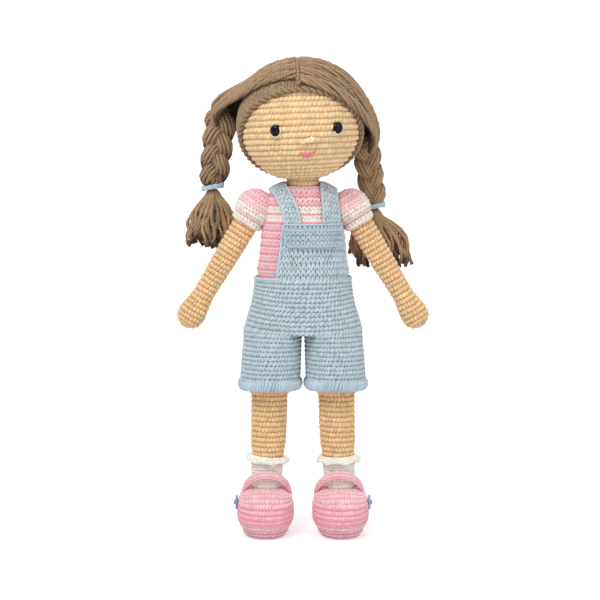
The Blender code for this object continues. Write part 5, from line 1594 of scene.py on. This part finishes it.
def panel(low, tall, spread, narrowing, offset):
    def surface(u, v):
        angle = BIB_TURN + (2 * u - 1) * spread * (1 - narrowing * v)
        return torso_at(angle, low + tall * v, offset)
    return surface


def rope_along(piece, surface, u, v, radius, out, tone=0.0, slot=0):
    """A cord laid on a surface along a line of u and v; either may be one number."""
    count = max(np.size(u), np.size(v))
    cord(piece, on_surface(surface, *[np.broadcast_to(np.asarray(item, float), count) for item in (u, v)],
                           np.full(count, out)), radius, tone=tone, slot=slot)


bib = Piece("bib_crochet")
surface = panel(0.2050, 0.0453, BIB_SPREAD, 0.14, 0.0020)
crochet(bib, surface, np.linspace(0.0, 0.985, 10), 3.1 * MM,
        stitch(3.1 * MM, 5.0 * MM, 0.86 * MM, arch=0.7, spread=0.33), closed=False, columns=24,
        backing=-0.0001)
for u, v in ((EDGE, 0.995), (0.0, EDGE), (1.0, EDGE)):
    rope_along(bib, surface, u, v, 0.0010, 0.0006, slot=1)
bib.make("torso", [BLUE, PALE_BLUE], ["bib"])

# %% [markdown]
# ## The flap
# The top of the bib is turned down into a flap with rounded lower corners, in a darker copy of the blue yarn
# as painted shade. Only the stitches that fall inside the rounding are laid, over a sheet painted in shade.
# A cord follows the sides, corners and lower edge in one run, and a second one lies along the fold.

# %% Flap
flap = Piece("bib_flap_crochet")
surface = panel(0.2333, 0.0125, math.radians(38), 0.0, 0.0042)


def past_corner(points, u, v):
    return (np.abs(2 * u - 1) > 0.86) & (v < 0.34)


crochet(flap, surface, np.linspace(0.02, 1.0, 4), 3.2 * MM,
        stitch(3.2 * MM, 4.1 * MM, 0.84 * MM, arch=0.7, spread=0.33), closed=False, skip=past_corner,
        backing=None, lift=0.0004)
# Painted shade: a sheet under the flap's stitches, with a lower tone and some depth, darkens the gaps.
inner = panel(0.2343, 0.0112, math.radians(36.5), 0.0, 0.0046)
u, v = place_grid(np.linspace(0, 1, 24), np.linspace(0, 1, 8))
flap.add(inner(u, v), grid_quads(8, 24, False), None, -0.04, 0.6)
turn = np.linspace(0, np.pi / 2, 8)
edge_u = np.concatenate((np.full(6, 0.0), 0.10 - 0.10 * np.cos(turn), np.linspace(0.14, 0.86, 24),
                         0.90 + 0.10 * np.sin(turn), np.full(6, 1.0)))
edge_v = np.concatenate((np.linspace(1, 0.5, 6), 0.42 - 0.42 * np.sin(turn), np.zeros(24),
                         0.42 - 0.42 * np.cos(turn), np.linspace(0.5, 1, 6)))
rope_along(flap, surface, edge_u, edge_v, 0.0010, 0.0004)
rope_along(flap, surface, EDGE, 1.0, 0.0011, 0.0008)
flap.make("torso", [SHADED_BLUE, BLUE], ["bib_flap"])

# %% [markdown]
# ## The path of a strap
# A strap runs from a corner of the bib up over the shoulder beside the neck and down the back to the waist.
# It has to lie on the body all the way, also over the top, where the torso closes in. So the path picks x
# and the height, and y follows from the torso's own section at that height. The normal comes from the slope
# of that section, which lets the strap tilt smoothly over the shoulder.

# %% Strap surface
TOP_LEVELS = np.linspace(0.2600, 0.2799, 200)
TOP_WIDTHS = np.array([float(TORSO(np.array([level]), 0)[0]) for level in TOP_LEVELS])
STRAP_WIDTH, STRAP_TOP_X = 0.0112, 0.019
CORNER_SHARE = {"left": 0.45, "right": 0.62}


def torso_normal(x, height, wide, deep, fall, facing, eps=1e-4):
    slope = (TORSO(height + eps, 0) - TORSO(height - eps, 0)) / (2 * eps)
    slope_y = (TORSO(height + eps, 1) - TORSO(height - eps, 1)) / (2 * eps)
    gx = np.sign(x) * np.abs(x / wide) ** 1.2 / wide
    gy = facing * fall ** 1.2 / deep
    gz = -(np.abs(x / wide) ** TORSO_POWER / wide * slope + fall ** TORSO_POWER / deep * slope_y)
    return unit(np.stack((gx, gy, gz), axis=-1))


def strap_skin(label, side, offset=0.0024):
    """u runs across the strap. v runs from the bib over the shoulder at 0.5 to the waist behind."""
    corner_angle = BIB_TURN + side * BIB_SPREAD * CORNER_SHARE[label]
    corner = float(torso_at(np.array(corner_angle), np.array(0.2503), 0.0)[0])

    def surface(u, v):
        front = np.clip(2 * v, 0, 1)
        rear = np.clip(2 * v - 1, 0, 1)
        x = np.where(v < 0.5, corner + (side * STRAP_TOP_X - corner) * ease(np.minimum(front * 1.1, 1)),
                     side * (STRAP_TOP_X - 0.004 * rear)) + (u - 0.5) * STRAP_WIDTH
        top = np.interp(-np.abs(x), -TOP_WIDTHS, TOP_LEVELS)
        height = np.where(v < 0.5, 0.2506 + (top - 0.2506) * np.sin(front * np.pi / 2),
                          top + (0.2062 - top) * (1 - np.cos(rear * np.pi / 2)))
        wide, deep = TORSO(height, 0), TORSO(height, 1)
        fall = np.clip(1 - (np.abs(x) / wide) ** TORSO_POWER, 1e-5, 1) ** (1 / TORSO_POWER)
        facing = np.where(v < 0.5, -1.0, 1.0)
        normal = torso_normal(x, height, wide, deep, fall, facing)
        return np.stack((x, facing * deep * fall, height), axis=-1) + normal * offset
    return surface


print("straps start at x", [float(strap_skin(label, side)(np.array([0.5]), np.array([0.0]))[0, 0].round(4))
                            for label, side in SIDES])

# %% [markdown]
# ## The straps
# A strap is a narrow strip of V stitches, four wide, with a cord along each edge. Its rows are set at an even
# pitch along the path.

# %% Straps
STRAP_STITCH = stitch(3.0 * MM, 4.0 * MM, 0.82 * MM, arch=0.7, spread=0.33)


def strap(label, side):
    piece = Piece("strap_" + label + "_crochet")
    surface = strap_skin(label, side)
    probe = surface(np.full(200, 0.5), np.linspace(0, 1, 200))
    run = np.concatenate(([0], np.cumsum(np.linalg.norm(np.diff(probe, axis=0), axis=1))))
    levels = np.interp(np.linspace(0, run[-1], int(run[-1] / 0.0041)), run, np.linspace(0, 1, 200))
    crochet(piece, surface, levels, 3.0 * MM, STRAP_STITCH, closed=False, columns=8, backing=-0.0001)
    for u in (0.0, 1.0):
        rope_along(piece, surface, u, np.linspace(0, 1, 80), 0.0010, 0.0003, tone=-0.02)
    piece.make("torso", [BLUE, PALE_BLUE], ["strap_" + label])


for label, side in SIDES:
    strap(label, side)

# %% [markdown]
# ## Socks
# The sock is of finer yarn, in rows of small bars that lie close. It sits just off the leg's own
# surface, and only the part that shows above the shoe has stitches. The part in the shoe is plain cloth.

# %% Sock
SOCK_STITCH = rib(2.9 * MM, 2.9 * MM, 0.96 * MM, slant=0.1, wide=1.35, arch=-0.1, hump=0.05, ends=0.1)


def sock(label, side):
    piece = Piece("sock_" + label + "_crochet")
    surface = leg_skin(side, 0.0008)
    crochet(piece, surface, row_levels(surface, 0.0340, 0.0595, 2.9 * MM, u=0.0), 2.9 * MM, SOCK_STITCH,
            columns=40, backing=0.0, tone=0.02)
    lining(piece, surface, 0.0118, 0.0345, 12, 40, 0, 0.4)
    piece.make("leg_" + label, [SOCK], ["sock_" + label])


print("a sock shows", round((0.0595 - 0.0340) / MM, 1), "mm of stitches")

# %% [markdown]
# ## The frill
# A frill has too many stitches for its ring, so its loose edge can't lie flat and goes in waves. The surface
# says so directly: its lower edge springs out from the ankle and rises and falls seven times round. A cloth
# simulation could ruffle a flat strip, but it would not keep its stitches in rows.

# %% Frill, then both socks
FRILL_STITCH = stitch(2.7 * MM, 2.9 * MM, 0.85 * MM, arch=0.45)
FRILL_U = np.linspace(0, 1, 141)
FRILL_TILT = {"left": 0.3, "right": -1.0}


def frill_skin(label, side):
    """v is 0 at the loose wavy edge and 1 at the ankle."""
    def surface(u, v):
        level = 0.0586 + 0.0034 * v
        base = leg_skin(side)(u, level)
        middle = np.stack((side * LEG(level, 0), 0.003 * (1 - ease(level / 0.1178)), level), axis=-1)
        spread = 0.0012 + 0.0036 * np.sin(np.clip(1 - v, 0, 1) * np.pi * 0.62) \
            + 0.0010 * (1 - v) * np.cos(14 * np.pi * u + side)
        rise = 0.0008 * np.sin(14 * np.pi * u + 1.3) * (1 - v) \
            + 0.0012 * np.cos(2 * np.pi * u) * FRILL_TILT[label]
        return base + unit(base - middle) * spread[..., None] + np.stack((0 * u, 0 * u, rise), axis=-1)
    return surface


def frill(label, side):
    piece = Piece("sock_frill_" + label + "_crochet")
    surface = frill_skin(label, side)
    crochet(piece, surface, np.linspace(0.05, 0.98, 4), 2.7 * MM, FRILL_STITCH, columns=112, backing=0.0)
    rope_along(piece, surface, FRILL_U, 0.02, 0.0010, 0.0, tone=0.03)
    rope_along(piece, surface, FRILL_U, 1.0, 0.0010, 0.0)
    piece.make("leg_" + label, [SOCK], ["sock_frill_" + label])


for label, side in SIDES:
    sock(label, side)
    frill(label, side)

# %% [markdown]
# ## The shape of a shoe
# The shoes are round-toed, about 0.7 as wide as long. A table gives the half width, the half length and how
# far the section moves forward at each height. The upper closes in over the toe and meets the sock at the
# instep, so in front its surface is led over to the leg's own surface. Beside the ankle its edge is lower.

# %% Shoe surface
SHOE_SHAPE = profile([(0.046 * s, 0.022 * w, 0.031 * n, -0.0065 * f) for s, w, n, f in (
    (0.115, 0.80, 0.845, 1.00), (0.20, 0.92, 0.94, 1.05), (0.29, 0.98, 0.985, 1.02), (0.40, 1.0, 1.0, 1.0),
    (0.54, 0.985, 0.965, 0.85), (0.70, 0.915, 0.865, 0.50), (0.84, 0.81, 0.72, 0.0), (0.93, 0.72, 0.60, -0.30),
    (1.0, 0.65, 0.54, -0.42))], blur=3)
SHOE_POWER = 2.15


def shoe_skin(side):
    """The upper; its rounds rise over the toe and close in on the sock at the instep."""
    def surface(u, v):
        ahead = np.clip(-np.sin(2 * np.pi * u), 0, 1)
        x, y = ring_xy(u, SHOE_SHAPE(v, 0), SHOE_SHAPE(v, 1), SHOE_POWER)
        arch = 0.0034 * ahead ** 3 * ease((v - 0.021) / 0.012) * (1 - ease((v - 0.034) / 0.009))
        beside = np.cos(2 * np.pi * u) ** 2
        drop = 0.0085 * beside * ease((v - 0.0280) / 0.0170)
        shoe = np.stack((side * FOOT_X + x, y + SHOE_SHAPE(v, 2), v + arch - drop), axis=-1)
        level = 0.0352 + 0 * v
        ledge = leg_skin(side, 0.0030)(u, level)
        close = (ease((v - 0.0320) / 0.0120) * ease(ahead * 1.6))[..., None]
        return shoe * (1 - close) + ledge * close
    return surface


print("left toe reaches", shoe_skin(1)(np.array([0.75]), np.array([0.018]))[0].round(4))

# %% [markdown]
# ## The upper and the sole
# The upper is worked in rounds of slanting bars, with four darker lines low on its side, and its opening has
# two turns of cord. The sole is rounds too. It is flat in the middle and turns up at its edge to meet the
# upper.

# %% Upper and sole
SHOE_STITCH = rib(2.8 * MM, 3.0 * MM, 0.84 * MM, slant=0.22, wide=1.75, arch=0.0, hump=0.12, ends=0.40)
SOLE_STITCH = rib(3.0 * MM, 3.0 * MM, 0.70 * MM, slant=0.2, wide=1.2)
SHOE_LINES = np.arange(0.0130, 0.0280, 0.0038)
FLAT = 0.8


def shoe_upper(label, side):
    piece = Piece("shoe_" + label + "_crochet")
    surface = shoe_skin(side)
    levels = np.concatenate((np.linspace(0.0052, SHOE_LINES[0], 4), SHOE_LINES[1:],
                             np.linspace(SHOE_LINES[-1], 0.0455, 8)[1:]))
    crochet(piece, surface, levels, 2.8 * MM, SHOE_STITCH, columns=96, backing=0.0002)
    wave = 0.0001 * np.sin(FRILL_U * 2 * np.pi * 54)
    for level in SHOE_LINES:
        path = on_surface(surface, FRILL_U, level + 2 * wave, 0.0003 + wave)
        cord(piece, path, 0.00085, 6, turns_per_mm=0.15, tone=0.04, slot=1)
    rope_along(piece, surface, RING_U, 0.0458, 0.0012, 0.0)
    rope_along(piece, surface, RING_U, 0.0444, 0.0011, 0.0006, slot=1)
    piece.make("leg_" + label, [SHOE, DEEP_PINK], ["shoe_" + label])


def shoe_sole(label, side):
    def bottom(u, v):
        """v is 0 in the middle of the sole, and past FLAT it turns up at the edge."""
        turned = np.clip((v - FLAT) / 0.2, 0, 1) * np.pi / 2
        share = np.where(v < FLAT, v, FLAT + 0.2 * np.sin(turned))
        x, y = ring_xy(u, SHOE_SHAPE(0.0053, 0) * share, SHOE_SHAPE(0.0053, 1) * share, SHOE_POWER)
        z = np.where(v < FLAT, 0.0011, 0.0011 + 0.0042 * (1 - np.cos(turned)))
        return np.stack((side * FOOT_X + x, y - 0.0065, z), axis=-1)

    piece = Piece("shoe_sole_" + label + "_crochet")
    crochet(piece, bottom, np.concatenate((np.linspace(0.02, FLAT, 8), [0.90, 1.0])), 3.0 * MM, SOLE_STITCH,
            columns=64, backing=0.0)
    piece.make("leg_" + label, [SHOE], ["shoe_sole_" + label])


print("darker lines at", (SHOE_LINES / MM).round(1), "mm")

# %% [markdown]
# ## The shoe's strap
# Three cords side by side go from one side of the opening over the instep to the other, highest in front.
# They are arcs about the ankle, and the middle one is paler and stands out the most.

# %% Shoe strap
def shoe_strap(label, side):
    ankle = leg_skin(side)(round_u(60), np.full(60, 0.045)).mean(axis=0)
    angle = np.linspace(math.radians(172), math.radians(368), 44)
    rise = np.sin(np.clip((angle - math.radians(172)) / math.radians(196), 0, 1) * np.pi)
    strands = []
    for index in range(3):
        level = 0.0280 + 0.0190 * rise ** 0.85 + 0.0021 * (index - 1)
        out = 0.0185 - 0.0036 * rise + 0.0010 * np.sin(np.pi * (index + 0.5) / 3)
        strands.append(np.stack((ankle[0] + out * np.cos(angle),
                                 ankle[1] - 0.0010 + out * 1.02 * np.sin(angle), level + 0.0022), axis=-1))
    verts, quads, uv, valley = sweep(np.array(strands), 0.00122, 8, lobe=0.2, turns_per_mm=0.16)
    piece = Piece("shoe_strap_" + label + "_crochet")
    piece.add(verts, quads, uv, np.repeat((-0.03, 0.03, -0.03), len(verts) // 3), valley * 0.6)
    piece.make("leg_" + label, [SHOE], ["shoe_strap_" + label])


print("the strap rises by", round(0.0190 / MM), "mm")

# %% [markdown]
# ## The flower
# A small flower is sewn to the outside of each shoe. Each of its five petals is two loops of yarn, a large
# one that stands out and a smaller one in it, and a knot of yarn covers the middle.

# %% Flower, then both shoes
PETALS = 5
FLOWER_Y, FLOWER_Z = -0.006, 0.0255


def shoe_flower(label, side):
    piece = Piece("shoe_flower_" + label + "_crochet")
    t = np.linspace(0, 2 * np.pi, 25)
    loops = []
    for petal in range(PETALS):
        lean = 2 * np.pi * (petal + 0.25) / PETALS
        for grow in (1.0, 0.55):
            reach = 0.0031 + 0.0021 * grow * np.cos(t)
            swing = 0.0019 * grow * np.sin(t)
            y = reach * math.cos(lean) - swing * math.sin(lean)
            z = reach * math.sin(lean) + swing * math.cos(lean)
            out = FOOT_X + 0.0222 + 0.0003 + 0.0008 * grow
            loops.append(np.stack((side * out + 0 * t, FLOWER_Y + y, FLOWER_Z + z), axis=-1))
    verts, quads, uv, valley = sweep(np.array(loops), 0.00095, 6, lobe=0.12, turns_per_mm=0.2)
    tones = rng.normal(0, 0.04, 2 * PETALS)
    piece.add(verts, quads, uv, np.repeat(tones, len(verts) // len(tones)), valley * 0.5)
    knot = np.stack((side * (FOOT_X + 0.0238 + 0.0010 * np.sin(t / 2)), FLOWER_Y + 0.0011 * np.cos(t * 1.5),
                     FLOWER_Z + 0.0011 * np.sin(t * 1.5)), axis=-1)
    cord(piece, knot, 0.0010, 6, turns_per_mm=0.2, tone=0.06)
    piece.make("leg_" + label, [FLOWER], ["shoe_flower_" + label])


for label, side in SIDES:
    shoe_upper(label, side)
    shoe_sole(label, side)
    shoe_strap(label, side)
    shoe_flower(label, side)

# %% [markdown]
# ## The stuffing
# Loose fibre fills the head, body, arms and legs. A volume shader would look like fog, and single fibres
# would be far too many for what nobody sees whole. So each filling is a closed lumpy body a little inside
# its surface. Two sizes of noise push it in and out, and both of its ends are drawn together.

# %% Stuffing
FIBRE = yarn("fibre_fill", (243, 240, 232), (214, 208, 196), sheen=0.5)


def lumps(points):
    return np.array([noise.noise(Vector(point) * 170) + 0.5 * noise.noise(Vector(point) * 420)
                     for point in points])


def fill(name, surface, low, high, body, inset, turns=48, rows=30):
    """A lumpy closed body of loose fibre inside a surface."""
    share = np.linspace(0, 1, rows)
    u, v = place_grid(round_u(turns), low + (high - low) * (1 - np.cos(share * np.pi)) / 2)
    rings = surface(u, v).reshape(rows, turns, 3)
    middle = rings.mean(axis=1, keepdims=True)
    out = rings - middle
    size = np.linalg.norm(out, axis=2, keepdims=True)
    close = np.sqrt(np.clip(np.sin(share * np.pi), 0, 1))[:, None, None] ** 0.5
    bumps = lumps(rings.reshape(-1, 3)).reshape(rows, turns, 1)
    rings = middle + unit(out) * np.maximum((size - inset) * close + 0.0009 * (bumps - 0.7) * close, 1e-5)
    piece = Piece(name)
    piece.add(rings.reshape(-1, 3), grid_quads(rows, turns, True), None, 0, 0.3)
    piece.make(body, [FIBRE], [name.replace("_fibre", "")])


fill("body_stuffing_fibre", torso_skin(), 0.1700, 0.2760, "torso", 0.0022)
for label, side in SIDES:
    fill("arm_stuffing_" + label + "_fibre", arm_skin(side), -0.104, 0.004, "arm_" + label, 0.0022)
    fill("leg_stuffing_" + label + "_fibre", leg_skin(side), 0.0170, 0.1610, "leg_" + label, 0.0022)
fill("head_stuffing_fibre", head_skin, 0.05, math.pi - 0.05, "head", 0.0030)

# %% [markdown]
# ## The thread, the dowel and the washers
# A thread through the shoulders holds the arms. A short wooden dowel carries the head, and each eye has a
# plastic washer behind the cloth. The dowel and the washers keep their solids, which are already the right
# shape, and only get a finish: wood grain is noise drawn out along the dowel, pale and dark by turns and a
# little raised.

# %% Thread, dowel and washers
thread = Piece("shoulder_thread_yarn")
run = np.linspace(-0.0218, 0.0218, 24)
cord(thread, np.stack((run, 0 * run, shoulder(1)[2] + 0 * run), axis=-1), 0.00098, lobe=0.16,
     turns_per_mm=0.25)
thread.make("torso", [CREAM], ["shoulder_thread"])

WOOD = plain("dowel_wood", (199, 163, 119), 0.7)
grain = speckle(WOOD.node_tree, 1.0, 5, stretch=(900, 900, 60))
link(WOOD.node_tree, blended(WOOD.node_tree, grain, (176, 136, 92), (222, 190, 146)),
     WOOD.node_tree.nodes["Principled BSDF"].inputs["Base Color"])
bumped(WOOD.node_tree, grain, 0.5, 0.0002)
WASHER = moulded("washer_plastic", (222, 222, 217), (231, 231, 228), 0.35, 0.5)
for node, material in (("neck_dowel", WOOD), ("eye_washer_left", WASHER), ("eye_washer_right", WASHER)):
    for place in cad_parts[node].material_slots:
        place.material = material
    print(node, "is finished as", material.name)
